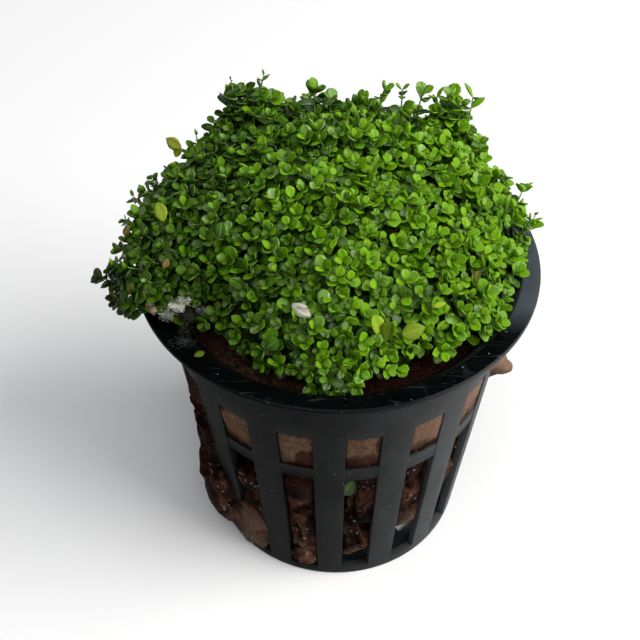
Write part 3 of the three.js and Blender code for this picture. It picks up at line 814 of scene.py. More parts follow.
class FoliageSettings(bpy.types.PropertyGroup):
    """Sizes and colours of the sprigs."""
    spacing: length_setting("Spacing", "Least distance between two sprigs", 1.85 * MM)
    leaf: length_setting("Leaf", "Length of a grown leaf", 2.0 * MM)
    sprig: length_setting("Sprig", "Length of a leafy stem end", 4.7 * MM)
    stem: length_setting("Stem", "Radius of a stem", 0.14 * MM)
    sink: length_setting("Sink", "From the dome down to the sprigs' tips", 0.5 * MM)
    depth: length_setting("Depth", "How far some sprigs' tips lie below others", 1.4 * MM)
    tangle: length_setting("Tangle", "From the dome down to the mat of stems", 4.2 * MM)
    variants: count_setting("Variants", "How many different sprigs there are", 16, 1)
    pairs: count_setting("Pairs", "Pairs of leaves on a sprig", 6, 3)
    gloss: share_setting("Gloss", "Strength of the leaves' shine", 0.55)
    translucence: share_setting("Translucence", "Light that passes into a leaf", 0.12)
    # Painted shade: near-black green of the leaves that hang over the left rim
    rim_shade_green: colour_setting("Dark green", "Leaves that hang over the left rim", (0.009, 0.017, 0.004))
    deep_green: colour_setting("Deep green", "Shaded leaves", (0.006, 0.028, 0.0005))
    leaf_green: colour_setting("Leaf green", "Most leaves", (0.046, 0.142, 0.0012))
    bright_green: colour_setting("Bright green", "Sunny leaves", (0.13, 0.29, 0.002))
    young_green: colour_setting("Young green", "Newest leaves", (0.17, 0.36, 0.006))
    vein_green: colour_setting("Vein green", "Midrib and margin", (0.14, 0.29, 0.028))
    # Pale green of waxy leaves, partly painted sheen
    painted_sheen_green: colour_setting("Milky green", "Waxy leaves", (0.18, 0.34, 0.06))
    yellow_leaf: colour_setting("Yellow leaf", "Ageing leaf", (0.26, 0.36, 0.014))
    ochre_leaf: colour_setting("Ochre leaf", "Drying leaf", (0.2, 0.16, 0.035))
    dead_leaf: colour_setting("Dead leaf", "Dead leaf", (0.12, 0.06, 0.025))
    dry_vein: colour_setting("Dry vein", "Midrib of a dry leaf", (0.36, 0.42, 0.07))
    green_stem: colour_setting("Green stem", "Young stems", (0.12, 0.26, 0.05))
    pale_stem: colour_setting("Pale stem", "Pale stems", (0.40, 0.48, 0.22))
    brown_stem: colour_setting("Brown stem", "Old stems", (0.045, 0.026, 0.012))
    # Painted shade: the near-black depth of the mat
    tangle_painted_shade: colour_setting("Tangle dark", "Depth of the mat", (0.002, 0.003, 0.001))
    tangle_green: colour_setting("Tangle green", "Mat in the light", (0.01, 0.02, 0.003))


class LooseSettings(bpy.types.PropertyGroup):
    """Colours of the husk and the loose wool."""
    husk: colour_setting("Husk", "Dry husk", (0.34, 0.355, 0.26))
    husk_pale: colour_setting("Pale husk", "Husk in the light", (0.68, 0.69, 0.62))
    husk_brown: colour_setting("Brown husk", "Streaks of the husk", (0.14, 0.105, 0.07))
    white_fibre: colour_setting("White fibre", "Bright loose fibre", (0.80, 0.79, 0.76))
    pale_fibre: colour_setting("Pale fibre", "Damp loose fibre", (0.34, 0.36, 0.3))
    grey_fibre: colour_setting("Grey fibre", "Dull loose fibre", (0.13, 0.13, 0.13))
    dark_fibre: colour_setting("Dark fibre", "Wet loose fibre", (0.028, 0.028, 0.02))
    pink_brown: colour_setting("Pinkish brown", "Bit of damp wool", (0.26, 0.19, 0.13))


class StageSettings(bpy.types.PropertyGroup):
    """Floor, light and camera."""
    floor: length_setting("Floor", "Width of the floor", 4.0)
    floor_colour: colour_setting("Floor colour", "Pale floor", (0.865, 0.865, 0.868))
    key_power: amount_setting("Key", "Power of the soft light from the right", 13.0)
    key_size: length_setting("Key size", "Width of the soft light", 0.84)
    key_distance: length_setting("Key distance", "From the pot to the soft light", 1.0)
    key_azimuth: angle_setting("Key azimuth", "From the front towards +X", 76)
    key_elevation: angle_setting("Key elevation", "Height of the soft light", 39)
    fill_power: amount_setting("Fill", "Power of the wide light overhead", 10.2)
    fill_size: length_setting("Fill size", "Width of the light overhead", 1.4)
    panel_power: amount_setting("Panel", "Power of the small panel behind, seen in the lip", 0.7)
    world: amount_setting("Surroundings", "Brightness of the room", 0.07)
    lens: amount_setting("Lens", "Focal length in millimetres", 58.4)


class BabyTearsSettings(bpy.types.PropertyGroup):
    """All settings of the potted plant."""
    pot: bpy.props.PointerProperty(type=PotSettings)
    plug: bpy.props.PointerProperty(type=PlugSettings)
    foliage: bpy.props.PointerProperty(type=FoliageSettings)
    loose: bpy.props.PointerProperty(type=LooseSettings)
    stage: bpy.props.PointerProperty(type=StageSettings)


# Net pot

def wall_radius(pot, height):
    return pot.foot_radius + (pot.rim_radius - pot.foot_radius) * height / pot.height


def bore_radius(pot, height):
    return wall_radius(pot, height) - pot.wall


def arc_points(centre, radius, first, last, steps):
    """Points on a rounded corner of the profile, angles in degrees from the +radius axis."""
    turns = [math.radians(first + (last - first) * i / steps) for i in range(steps + 1)]
    return [(centre[0] + radius * math.cos(t), centre[1] + radius * math.sin(t)) for t in turns]


def column_offset(azimuth):
    """Degrees from the nearest slot column's middle."""
    return (azimuth - FIRST_AZIMUTH + COLUMN_PITCH / 2) % COLUMN_PITCH - COLUMN_PITCH / 2


def sector_azimuths():
    """Azimuths across one sector of two slot columns and a drain."""
    left, right = FIRST_AZIMUTH - COLUMN_PITCH, FIRST_AZIMUTH
    half, inset, quarter, rib = SLOT_HALF_ANGLE, 0.3, 2.9, 2.7
    start = left - COLUMN_PITCH / 2
    stations = [start, start + rib, left - half, left - half + inset]
    stations += [left - quarter, left, left + quarter, left + half - inset, left + half]
    stations += [-DRAIN_HALF_ANGLE, -quarter, 0.2, right - half, right - half + inset]
    stations += [DRAIN_HALF_ANGLE, right, right + quarter, right + half - inset, right + half]
    return [*stations, right + half + rib, right + COLUMN_PITCH / 2]


def in_slot(azimuth):
    """Whether an azimuth lies inside a slot column, its edges left out."""
    return abs(column_offset(azimuth)) < SLOT_HALF_ANGLE - 0.01


def pot_profile(pot):
    """Radius and height along the pot's skin: the outside up and over, then the inside down."""
    tall, short = TALL_SLOT_MM, SHORT_SLOT_MM
    top, lip, mouth = pot.height, pot.lip_radius, pot.mouth_radius
    under_lip = top - pot.lip_face
    flare_low = under_lip - pot.flare
    # Rounding of the foot, of the lip's lower and upper edges, and of the mouth
    foot, lower, upper, brim = (radius * MM for radius in (0.45, 0.2, 0.28, 0.3))
    levels = [tall[0], 9, 16, 22.5, tall[1], tall[1] + 0.1, short[0] - 0.1, short[0], 35.3]
    walls = [level * MM for level in (*levels, short[1], 42, 44.8)]
    outside = [(radius * MM, 0) for radius in (2.5, 5, *DRAIN_MM, 18.4)]
    outside += arc_points((pot.foot_radius - foot, foot), foot, -90, -6, 4)
    outside += [(wall_radius(pot, h), h) for h in walls]
    flare_radius = wall_radius(pot, flare_low)
    for step in range(7):
        turn = step / 6 * math.pi / 2
        radius = flare_radius + (lip - 0.12 * MM - flare_radius) * (1 - math.cos(turn))
        outside.append((radius, flare_low + pot.flare * math.sin(turn)))
    outside += arc_points((lip - lower, under_lip + 0.24 * MM), lower, -70, 0, 2)
    outside += arc_points((lip - upper, top - upper), upper, 0, 90, 4)
    outside += [(lip - 1.3 * MM, top), (mouth + 0.35 * MM, top)]
    outside += arc_points((mouth + brim, top - brim), brim, 90, 165, 3)
    inside = [(bore_radius(pot, h), h) for h in reversed([*walls, flare_low + 0.9 * MM])]
    corner = bore_radius(pot, pot.floor)
    inside += [(corner, pot.floor + 0.35 * MM), (corner - 0.35 * MM, pot.floor)]
    inside += [(radius * MM, pot.floor) for radius in (DRAIN_MM[1], DRAIN_MM[0], 5, 2.5)]
    return outside, inside


def hole_kind(low, high, azimuth):
    """The hole that a stretch of the profile lies in at an azimuth, or None."""
    level = (low[1] + high[1]) / 2 / MM
    radius = (low[0] + high[0]) / 2 / MM
    upright = abs(high[1] - low[1]) > 0.3 * abs(high[0] - low[0])
    if not upright:
        in_drain = abs(azimuth) < DRAIN_HALF_ANGLE and DRAIN_MM[0] < radius < DRAIN_MM[1]
        return ("drain", 0) if in_drain else None
    for kind, (bottom, top) in (("tall", TALL_SLOT_MM), ("short", SHORT_SLOT_MM)):
        if in_slot(azimuth) and bottom < level < top:
            return kind, round((azimuth - FIRST_AZIMUTH) / COLUMN_PITCH)
    return None


def pot_sector_mesh(pot):
    """One sector of the pot as a skin, with its holes walled and the recess behind its ring."""
    outside, inside = pot_profile(pot)
    profile = outside + inside
    azimuths = sector_azimuths()
    count = len(azimuths)
    ring_low, ring_high = (TALL_SLOT_MM[1] + 0.05) * MM, (SHORT_SLOT_MM[0] - 0.05) * MM
    points = []
    for row, (radius, height) in enumerate(profile):
        on_ring = row < len(outside) and ring_low < height < ring_high
        for azimuth in azimuths:
            recess = pot.ring_recess if on_ring and in_slot(azimuth) else 0
            points.append(on_azimuth(azimuth, radius - recess, height))
    faces = []
    holes = {}
    for row in range(len(profile) - 1):
        side = "out" if row < len(outside) else "in"
        for column in range(count - 1):
            first = row * count + column
            corners = [first, first + 1, first + 1 + count, first + count]
            middle = (azimuths[column] + azimuths[column + 1]) / 2
            hole = hole_kind(profile[row], profile[row + 1], middle)
            patch = holes.setdefault((side, hole), []) if hole else faces
            patch.append(corners)
    axis = len(points)
    points += [Vector((0, 0, 0)), Vector((0, 0, pot.floor))]
    last = (len(profile) - 1) * count
    for column in range(count - 1):
        faces.append([axis, column + 1, column])
        faces.append([axis + 1, last + column, last + column + 1])
    mesh = mesh_of("pot sector", points, faces)
    close_holes(mesh, holes)
    return mesh


def hole_edges(quads):
    """The directed edges round a patch of faces."""
    edges = {(q[i], q[(i + 1) % 4]) for q in quads for i in range(4)}
    return [(a, b) for a, b in edges if (b, a) not in edges]


def close_holes(mesh, holes):
    """Walls each hole from its outer edge to its inner edge."""
    where = [Vector(v.co) for v in mesh.vertices]
    quads = []
    for (side, hole), patch in holes.items():
        if side == "in":
            continue
        inner = {v for quad in holes[("in", hole)] for v in quad}
        for a, b in hole_edges(patch):
            mates = [min(inner, key=lambda v: (where[v] - where[p]).length) for p in (a, b)]
            if mates[0] != mates[1]:
                quads.append((a, b, mates[1], mates[0]))
    bm = bmesh.new()
    bm.from_mesh(mesh)
    bm.verts.ensure_lookup_table()
    for quad in quads:
        bm.faces.new([bm.verts[i] for i in quad])
    for face in bm.faces:
        face.smooth = True
    bm.to_mesh(mesh)
    bm.free()


def sector_tree():
    """Repeats a sector round the axis and welds the joints."""
    tree, given = new_tree("Round the axis", Sectors="Int", Weld="Float", Material="Material")
    points = result(tree, "GeometryNodePoints", {"Count": given["Sectors"]})
    index = result(tree, "GeometryNodeInputIndex")
    turn = index * (2 * math.pi) / given["Sectors"]
    rotation = result(tree, "FunctionNodeAxisAngleToRotation", {"Axis": (0, 0, 1), "Angle": turn})
    copies = result(tree, "GeometryNodeInstanceOnPoints", {
        "Points": points, "Instance": given["Geometry"], "Rotation": rotation,
    })
    whole = result(tree, "GeometryNodeRealizeInstances", {"Geometry": copies})
    whole = result(
        tree, "GeometryNodeMergeByDistance", {"Geometry": whole, "Distance": given["Weld"]}
    )
    return end_tree(tree, whole, (given["Material"], True))


class BABYTEARS_OT_net_pot(bpy.types.Operator):
    """Make the slotted plastic net pot"""
    bl_idname = "baby_tears.net_pot"
    bl_label = "Net pot"

    def execute(self, context):
        pot = context.scene.baby_tears.pot
        values = {
            "Sectors": SLOT_COLUMNS // 2, "Weld": 0.004 * MM, "Material": plastic_material(pot),
        }
        mesh = grown_mesh(sector_tree(), pot_sector_mesh(pot), values)
        piece = new_object("slotted_pot", mesh)
        bevel = piece.modifiers.new("Moulded edges", "BEVEL")
        bevel.width = pot.bevel
        bevel.segments = 2
        bevel.limit_method = "ANGLE"
        bevel.angle_limit = math.radians(50)
        bevel.use_clamp_overlap = True
        finish_piece(piece, "pot_plastic", "net_pot")
        return {"FINISHED"}


# Growing plug

def smoothstep(value, low, high):
    t = np.clip((value - low) / (high - low), 0, 1)
    return t * t * (3 - 2 * t)


def wool_radius(pot, azimuth, height):
    """Radius of the wool in millimetres: full above the shoulder, drawn in and folded below."""
    level = height * MM
    full = bore_radius(pot, level) / MM - PLUG_GAP_MM
    folds = [np.sin(np.radians(around * azimuth) + height / rise) for around, rise in WOOL_FOLDS]
    drawn = PLUG_DRAWN_IN_MM * (1 + 0.7 * folds[0] * folds[1])
    radius = full - drawn * (1 - smoothstep(height, *PLUG_SHOULDER_MM))
    for column, middle, half_height, reach in BULGES_MM:
        wall = wall_radius(pot, middle * MM) / MM
        inner = wall - pot.wall / MM - PLUG_GAP_MM - BULGE_ROOT_MM
        outer = wall + reach
        half_width = wall * math.sin(math.radians(SLOT_HALF_ANGLE)) - 0.3
        turn = (azimuth - FIRST_AZIMUTH - COLUMN_PITCH * column + 180) % 360 - 180
        aside = wall * np.radians(turn) / half_width
        share = 1 - aside ** 2 - ((height - middle) / half_height) ** 2
        lump = (inner + outer) / 2 + (outer - inner) / 2 * np.sqrt(np.clip(share, 0, 1))
        radius = np.where(share > 0, np.maximum(radius, lump), radius)
    for middle, half_angle, centre, half_height, reach in PRESSED_MM:
        wall = wall_radius(pot, level) / MM
        turn = (azimuth - middle + 180) % 360 - 180
        share = 1 - (turn / half_angle) ** 10 - ((height - centre) / half_height) ** 10
        pressed = radius + (wall + reach - radius) * np.clip(share, 0, 1) ** 0.3
        radius = np.where(share > 0, np.maximum(radius, pressed), radius)
    return radius


def wool_stations(plug):
    """Azimuths and heights on the plug's side, closer together at the edges of the slots."""
    half = SLOT_HALF_ANGLE
    edge = [half + 0.15, half - 0.05, half - 0.5]
    offsets = [-9.6, -7.8, *(-offset for offset in edge)]
    offsets += np.linspace(1.1 - half, half - 1.1, plug.divisions).tolist()
    offsets += [*reversed(edge), 7.8, 9.6, COLUMN_PITCH / 2]
    middles = [FIRST_AZIMUTH + COLUMN_PITCH * column for column in range(SLOT_COLUMNS)]
    azimuths = [middle + offset for middle in middles for offset in offsets]
    heights = set(np.linspace(PLUG_UNDERSIDE_MM[1] + 1, PLUG_TOP_MM[0], plug.levels))
    for height in (TALL_SLOT_MM[1], *SHORT_SLOT_MM):
        heights |= {height - 0.12, height + 0.12}
    return np.array(azimuths), sorted(heights)


def wool_surface(plug, pot):
    """The plug as rings of points: underside, side and top, with the faces between them."""
    azimuths, levels = wool_stations(plug)
    lowest, highest = PLUG_UNDERSIDE_MM
    edge, crown = PLUG_TOP_MM
    middle = lowest + 2
    low_rings, top_rings = 22, 20
    towards_high = (1 + np.cos(np.radians(azimuths - PLUG_HIGHEST_AZIMUTH))) / 2
    low = lowest + (highest - lowest) * towards_high ** 3
    rings = []
    for share in (0.12, 0.3, 0.5, 0.68, 0.82, 0.92):
        height = middle + (low - middle) * share ** 2
        rings.append((wool_radius(pot, azimuths, low) * share, height))
    side = [low + (levels[0] - low) * step / low_rings for step in range(low_rings)]
    side += [height + 0 * azimuths for height in levels]
    for height in side:
        corner = np.clip(1 - (height - low) / 1.4, 0, 1)
        brim = np.clip(1 - (edge - height), 0, 1)
        rounding = 0.9 * (2 - np.sqrt(1 - corner ** 2) - np.sqrt(1 - brim ** 2))
        rings.append((wool_radius(pot, azimuths, height) - rounding, height))
    outer = rings[-1][0]
    for step in range(1, top_rings):
        share = 1 - (step / top_rings) ** 1.25
        rings.append((outer * share, edge + (crown - edge) * (1 - share ** 2) + 0 * azimuths))
    turns = np.radians(azimuths)
    points = [(0, 0, middle)]
    for radius, height in rings:
        points += list(zip(radius * np.sin(turns), -radius * np.cos(turns), height))
    points.append((0, 0, crown))
    count = len(azimuths)
    last = 1 + (len(rings) - 1) * count
    faces = []
    for i in range(count):
        after = (i + 1) % count
        faces.append((0, 1 + after, 1 + i))
        faces.append((last + i, last + after, len(points) - 1))
        for row in range(len(rings) - 1):
            a, b = 1 + row * count + i, 1 + row * count + after
            faces.append((a, b, b + count, a + count))
    return mesh_of("wool", [Vector(p) * MM for p in points], faces)


def overflow_mesh(pot, azimuth, height, half_width, half_height, thickness):
    """Wool squeezed over a rib from the slot beside it: a soft lump that lies on the wall."""

    def moved(place):
        wave = noise.fractal(place * 1.7 + Vector((height, azimuth, 0)), 0.8, 2.1, 4)
        across, out, up = place * (1 + 0.1 * wave)
        level = (height + up * half_height) * MM
        fine = noise.noise(place * 7 + Vector((height, 0, 0))) * 0.04 * MM
        rise = max(0.0, out * thickness * MM + fine) if out > 0 else out * 0.2 * MM
        wall = wall_radius(pot, level) + 0.04 * MM
        turn = azimuth + math.degrees(across * half_width * MM / wall)
        return on_azimuth(turn, wall + rise, level)

    return ball_mesh("overflow", 5, moved)


def wool_mesh(plug, pot):
    """The wool with its lumps, hollows and fibres, kept clear of the pot."""
    mesh = wool_surface(plug, pot)
    gap = 0.1 * MM
    moved = []
    for vertex in mesh.vertices:
        place = vertex.co.copy()
        level = place.z / MM
        outward = Vector((place.x, place.y, 0)).normalized()
        if not PLUG_UNDERSIDE_MM[0] + 0.3 < level < PLUG_TOP_MM[0] - 0.05:
            outward = vertex.normal
        firm = 0.4 if level > PLUG_SHOULDER_MM[0] else 1
        flat = Vector((place.x, place.y, place.z * 0.45))
        lump = noise.fractal(flat * 300, 0.9, 2.1, 3) * firm
        fibre = noise.noise(flat * 1100) + 0.7 * noise.noise(place * 2100)
        hollow = max(0.0, noise.noise(flat * 330 + Vector((7, 3, 1))) - 0.12)
        deep = plug.hollow * hollow * (1 if level < PLUG_SHOULDER_MM[0] else 0.05)
        place += outward * (plug.lump * lump + plug.fibre * fibre * (1.4 - firm) - deep)
        radius = math.hypot(place.x, place.y)
        offset = abs(column_offset(math.degrees(math.atan2(place.x, -place.y))))
        behind_slot = any(
            low + 0.05 < level < high - 0.05 for low, high in (TALL_SLOT_MM, SHORT_SLOT_MM)
        )
        limit = bore_radius(pot, place.z) - gap
        if radius > limit and (offset > SLOT_HALF_ANGLE - 0.03 or not behind_slot):
            place.x *= limit / radius
            place.y *= limit / radius
        moved.append(place)
    mesh.vertices.foreach_set("co", np.array(moved, np.float32).ravel())
    mesh.update()
    return mesh


class BABYTEARS_OT_growing_plug(bpy.types.Operator):
    """Make the wet wool plug"""
    bl_idname = "baby_tears.growing_plug"
    bl_label = "Growing plug"

    def execute(self, context):
        settings = context.scene.baby_tears
        finish = wool_material(settings.plug)
        meshes = [wool_mesh(settings.plug, settings.pot)]
        meshes += [overflow_mesh(settings.pot, *lump) for lump in OVERFLOW_MM]
        for mesh in meshes:
            mesh.materials.append(finish)
        finish_piece(joined("wool_plug", meshes), "wet_wool", "growing_plug")
        return {"FINISHED"}


# Leaves and sprigs

# Rows of points along a leaf, as shares of its length, and the points across a row
LEAF_STATIONS = (0.13, 0.34, 0.58, 0.80, 0.94)
LEAF_ACROSS = (-1.0, -0.5, 0.0, 0.5, 1.0)


def leaf_mesh(name, width, lowness, bluntness, cup, curl, fold):
    """A closed leaf of length 1 along +X, its base at the origin and its face up.

    Lowness above 1 moves the widest place towards the tip, and bluntness below 1 rounds it.
    """
    thickness = 0.075
    points = [Vector((0, 0, 0))]
    texture = [(0.5, 0.0)]
    rows, columns = len(LEAF_STATIONS), len(LEAF_ACROSS)

    def surface(along, across, side):
        half = width / 2 * math.sin(math.pi * along ** lowness) ** bluntness
        rise = cup * across ** 2 * half * 2 + curl * along ** 2 - fold * (1 - abs(across)) * half
        body = thickness * (1 - across ** 2) * math.sin(math.pi * min(0.98, along)) ** 0.5
        return Vector((along, across * half, rise + side * body))

    for side, stations in ((1, LEAF_ACROSS), (-1, LEAF_ACROSS[1:-1])):
        for along in LEAF_STATIONS:
            for across in stations:
                points.append(surface(along, across, side))
                texture.append(((across + 1) / 2, along))
    points.append(surface(1.0, 0.0, 0))
    texture.append((0.5, 1.0))
    tip = len(points) - 1

    def index(under, row, column):
        """A point's number. The underside has no points of its own at the edge."""
        if not under or column in (0, columns - 1):
            return 1 + row * columns + column
        return (rows + row) * columns - row * 2 + column

    faces = []
    for under in (False, True):
        for column in range(columns - 1):
            fan = [(0, index(under, 0, column), index(under, 0, column + 1))]
            fan.append((tip, index(under, rows - 1, column + 1), index(under, rows - 1, column)))
            for row in range(rows - 1):
                fan.append((
                    index(under, row, column + 1), index(under, row, column),
                    index(under, row + 1, column), index(under, row + 1, column + 1),
                ))
            faces += [face[::-1] for face in fan] if under else fan
    mesh = mesh_of(name, points, faces)
    uv = mesh.uv_layers.new(name="UVMap")
    for loop in mesh.loops:
        uv.data[loop.index].uv = texture[loop.vertex_index]
    set_attribute(mesh, "blade", [1.0] * len(mesh.vertices))
    return mesh


# Shape of a leaf: width, lowness, bluntness, cup, curl and fold
LEAF_SHAPES = {
    "round": (0.86, 1.18, 0.60, 0.16, 0.10, 0.10),
    "spoon": (0.74, 1.42, 0.64, 0.22, 0.16, 0.06),
    "oval": (0.68, 1.10, 0.72, 0.10, -0.06, 0.14),
    "broad": (0.94, 1.25, 0.56, 0.12, -0.10, 0.08),
    "cupped": (0.80, 1.25, 0.60, 0.36, 0.22, 0.10),
    "pointed": (0.36, 0.85, 1.15, 0.20, 0.12, 0.25),
    "lance": (0.46, 1.0, 1.0, 0.16, -0.10, 0.20),
    "lemon": (0.70, 0.9, 0.92, 0.14, -0.12, 0.12),
}
LEAF_KINDS = {
    "round": ("round", "spoon", "oval", "broad", "cupped"), "slender": ("pointed", "lance"),
}


def leaf_collection(kind):
    """The leaf shapes of one kind as helper objects in a collection."""
    return helper_collection(kind + " leaves", {
        "leaf " + name: leaf_mesh("leaf " + name, *LEAF_SHAPES[name]) for name in LEAF_KINDS[kind]
    })


def end_foliage(tree, given, geometry):
    """Ends a tree of plants with the finish of the stems, then that of the blades."""
    blades = named(tree, "blade")
    return end_tree(tree, geometry, (given["Stem"], True), (given["Blade"], blades))


def sprig_tree():
    """Leaves in crossed pairs up a stem path, larger and flatter towards its foot."""
    tree, given = new_tree(
        "Sprig", Leaves="Collection", Shapes="Int", Pairs="Int", Leaf_length="Float",
        Tip_share="Float", Turn="Float", Foot_tilt="Float", Tip_tilt="Float",
        Stem_radius="Float", Dryness="Float", Seed="Int", Blade="Material", Stem="Material",
    )
    seed = given["Seed"]
    path = result(tree, "GeometryNodeMeshToCurve", {"Mesh": given["Geometry"]})
    smooth = result(tree, "GeometryNodeResampleCurve", {"Curve": path, "Count": 7}, mode="COUNT")
    up_stem = result(tree, "GeometryNodeSplineParameter", output="Factor")
    stem = tube(tree, smooth, 5, given["Stem radius"], Scale=up_stem.band(0, 1, 1.15, 0.5))
    stem = store(tree, stem, "tint", random_value(tree, 0.2, 0.8, seed))

    # Two points at each joint of the stem, with the joint's number and the stem's direction
    joints = add_node(tree, "GeometryNodeCurveToPoints", {"Curve": path}, mode="EVALUATED").outputs
    nodes = store(tree, joints["Points"], "whorl", result(tree, "GeometryNodeInputIndex"))
    nodes = store(tree, nodes, "frame", joints["Rotation"], data_type="QUATERNION")
    twins = add_node(
        tree, "GeometryNodeDuplicateElements", {"Geometry": nodes, "Amount": 2}, domain="POINT"
    ).outputs
    number = named(tree, "whorl")
    height = number / (given["Pairs"] - 1)

    side = Output(tree, twins["Duplicate Index"]) * math.pi
    crossed = number * (math.pi / 2)
    turn = side + crossed + random_value(tree, -0.32, 0.32, seed) + given["Turn"]
    tilt = height.sum("POWER", 2.2).band(0, 1, given["Foot tilt"], given["Tip tilt"])
    tilt = tilt + random_value(tree, -0.3, 0.3, seed)
    rotation = named(tree, "frame", "QUATERNION")
    rotation = turned(tree, rotation, (0, 0, 1), turn)
    rotation = turned(tree, rotation, (0, 1, 0), tilt * -1)
    rotation = turned(tree, rotation, (1, 0, 0), random_value(tree, -0.3, 0.3, seed))

    size = height.band(0.6, 1, 1, given["Tip share"]) * random_value(tree, 0.8, 1.14, seed)
    leaves = scattered(
        tree, twins["Geometry"], given["Leaves"], given["Shapes"], seed, rotation,
        size * given["Leaf length"],
    )
    dry = random_value(tree, 0, 1, seed + 5).band(1 - given["Dryness"], 1)
    leaves = store(tree, leaves, "tint", random_value(tree, 0, 1, seed), "INSTANCE")
    leaves = store(tree, leaves, "age", 1 - height, "INSTANCE")
    leaves = store(tree, leaves, "dry", dry, "INSTANCE")
    sprig = add_node(tree, "GeometryNodeJoinGeometry", {"Geometry": stem})
    feed(sprig.inputs[0], leaves)
    return end_foliage(tree, given, sprig.outputs[0])


# Cushion

def edge_line():
    """The cushion's edge as a closed smooth line, in metres."""
    corners = [Vector(p) * MM for p in EDGE_MM]
    count = len(corners)
    line = []
    for i in range(count):
        a, b, c, d = (corners[(i + k) % count] for k in (-1, 0, 1, 2))
        for step in range(EDGE_STEPS):
            t = step / EDGE_STEPS
            spread = (c - a) * t + (a * 2 - b * 5 + c * 4 - d) * t * t
            line.append((b * 2 + spread + (b * 3 - a - c * 3 + d) * t ** 3) / 2)
    return np.array(line)


# The edge line's points, and from each of them to the next
EDGE_LINE = edge_line()
EDGE_SIDES = np.roll(EDGE_LINE, -1, axis=0) - EDGE_LINE


def edge_from(x, y, angle):
    """Distance from a point to the cushion's edge in one direction, and the edge's height."""
    dx, dy = math.cos(angle), math.sin(angle)
    ax, ay = EDGE_LINE[:, 0] - x, EDGE_LINE[:, 1] - y
    across = dx * EDGE_SIDES[:, 1] - dy * EDGE_SIDES[:, 0]
    distance = (ax * EDGE_SIDES[:, 1] - ay * EDGE_SIDES[:, 0]) / across
    share = (ax * dy - ay * dx) / across
    hit = np.flatnonzero((distance > 0) & (share >= 0) & (share <= 1))
    if not len(hit):
        raise RuntimeError("a point lies outside the cushion's edge")
    nearest = hit[np.argmin(distance[hit])]
    return distance[nearest], EDGE_LINE[nearest, 2] + share[nearest] * EDGE_SIDES[nearest, 2]


def dome_height(x, y):
    """Height of the leaf tips over the dome and its crests."""
    middle_x, middle_y = (place * MM for place in DOME_MIDDLE_MM)
    dx, dy = x - middle_x, y - middle_y
    distance, low = edge_from(middle_x, middle_y, math.atan2(dy, dx))
    share = min(1.0, max(0.0, math.hypot(dx, dy) / distance))
    height = low + (DOME_TOP_MM * MM - low) * (1 - share ** 2) ** DOME_FULLNESS
    for crest_x, crest_y, radius, rise in CRESTS_MM:
        apart = math.hypot(x - crest_x * MM, y - crest_y * MM) / (radius * MM)
        height += rise * MM * math.exp(-apart ** 2)
    return height


def tuft_reach(at, angle, gap):
    """How far a tuft's ground goes in one direction, and whether the cushion ends there."""
    x, y = at
    edge = edge_from(x, y, angle)[0]
    reach = edge
    for _, other, _ in TUFTS_MM:
        dx, dy = other[0] * MM - x, other[1] * MM - y
        apart = math.hypot(dx, dy)
        if apart < 1e-9:
            continue
        facing = (math.cos(angle) * dx + math.sin(angle) * dy) / apart
        if facing > 1e-6:
            reach = min(reach, (apart / 2 - gap) / facing)
    return reach, reach >= edge


def tuft_surface(at, lift, sink, inset, gap):
    """A tuft's top surface: its middle, then rings of points with their heights, and faces."""
    x, y = at
    points = [Vector((x, y, dome_height(x, y) + lift - sink))]
    for ring in range(1, TUFT_RINGS + 1):
        share = ring / TUFT_RINGS
        for spoke in range(TUFT_SPOKES):
            angle = spoke * 2 * math.pi / TUFT_SPOKES
            reach, open_edge = tuft_reach(at, angle, gap)
            distance = share * (reach - (inset if open_edge else 0))
            px, py = x + distance * math.cos(angle), y + distance * math.sin(angle)
            height = dome_height(px, py) + lift * (1 - share ** 4)
            point = Vector((px, py, height - sink))
            points.append(point + Vector((0, 0, unevenness(point))))
    faces = []
    for spoke in range(TUFT_SPOKES):
        after = (spoke + 1) % TUFT_SPOKES
        faces.append([0, 1 + spoke, 1 + after])
        for ring in range(TUFT_RINGS - 1):
            a, b = 1 + ring * TUFT_SPOKES + spoke, 1 + ring * TUFT_SPOKES + after
            faces.append([a, a + TUFT_SPOKES, b + TUFT_SPOKES, b])
    return points, faces


def hang_skirt(points, faces, at, gap):
    """Carries a tuft's surface down from the cushion's edge to just above the lip."""
    edge = points[TUFT_EDGE:]
    low = SKIRT_LOW_MM * MM
    hangs = [
        tuft_reach(at, spoke * 2 * math.pi / TUFT_SPOKES, gap)[1] and point.z > low + 0.8 * MM
        for spoke, point in enumerate(edge)
    ]
    last = TUFT_EDGE
    for share in (0.5, 1.0):
        start = len(points)
        inward = 1 - 0.035 * share
        for x, y, z in edge:
            points.append(Vector((x * inward, y * inward, z + (low - z) * share)))
        for spoke, face in enumerate(ring_faces(last, start, TUFT_SPOKES)):
            if hangs[spoke] and hangs[(spoke + 1) % TUFT_SPOKES]:
                faces.append(face)
        last = start


def unevenness(place):
    """Clumps and hollows of the cushion, in metres."""
    coarse, fine = noise.noise(place * 230), noise.noise(place * 460 + Vector((5, 0, 0)))
    return (coarse * 1.7 + fine * 0.7) * MM


def growth_direction(place, normal):
    """Sprigs grow between the surface's slope and the sky, and lean outwards at the edge."""
    out = Vector((place.x - DOME_MIDDLE_MM[0] * MM, place.y - DOME_MIDDLE_MM[1] * MM, 0))
    cushion_radius, skyward, outward = 26 * MM, 0.55, 0.5
    rim = min(1.0, out.length / cushion_radius) ** 3
    direction = normal + Vector((0, 0, 1)) * skyward + out.normalized() * outward * rim
    return direction.normalized()


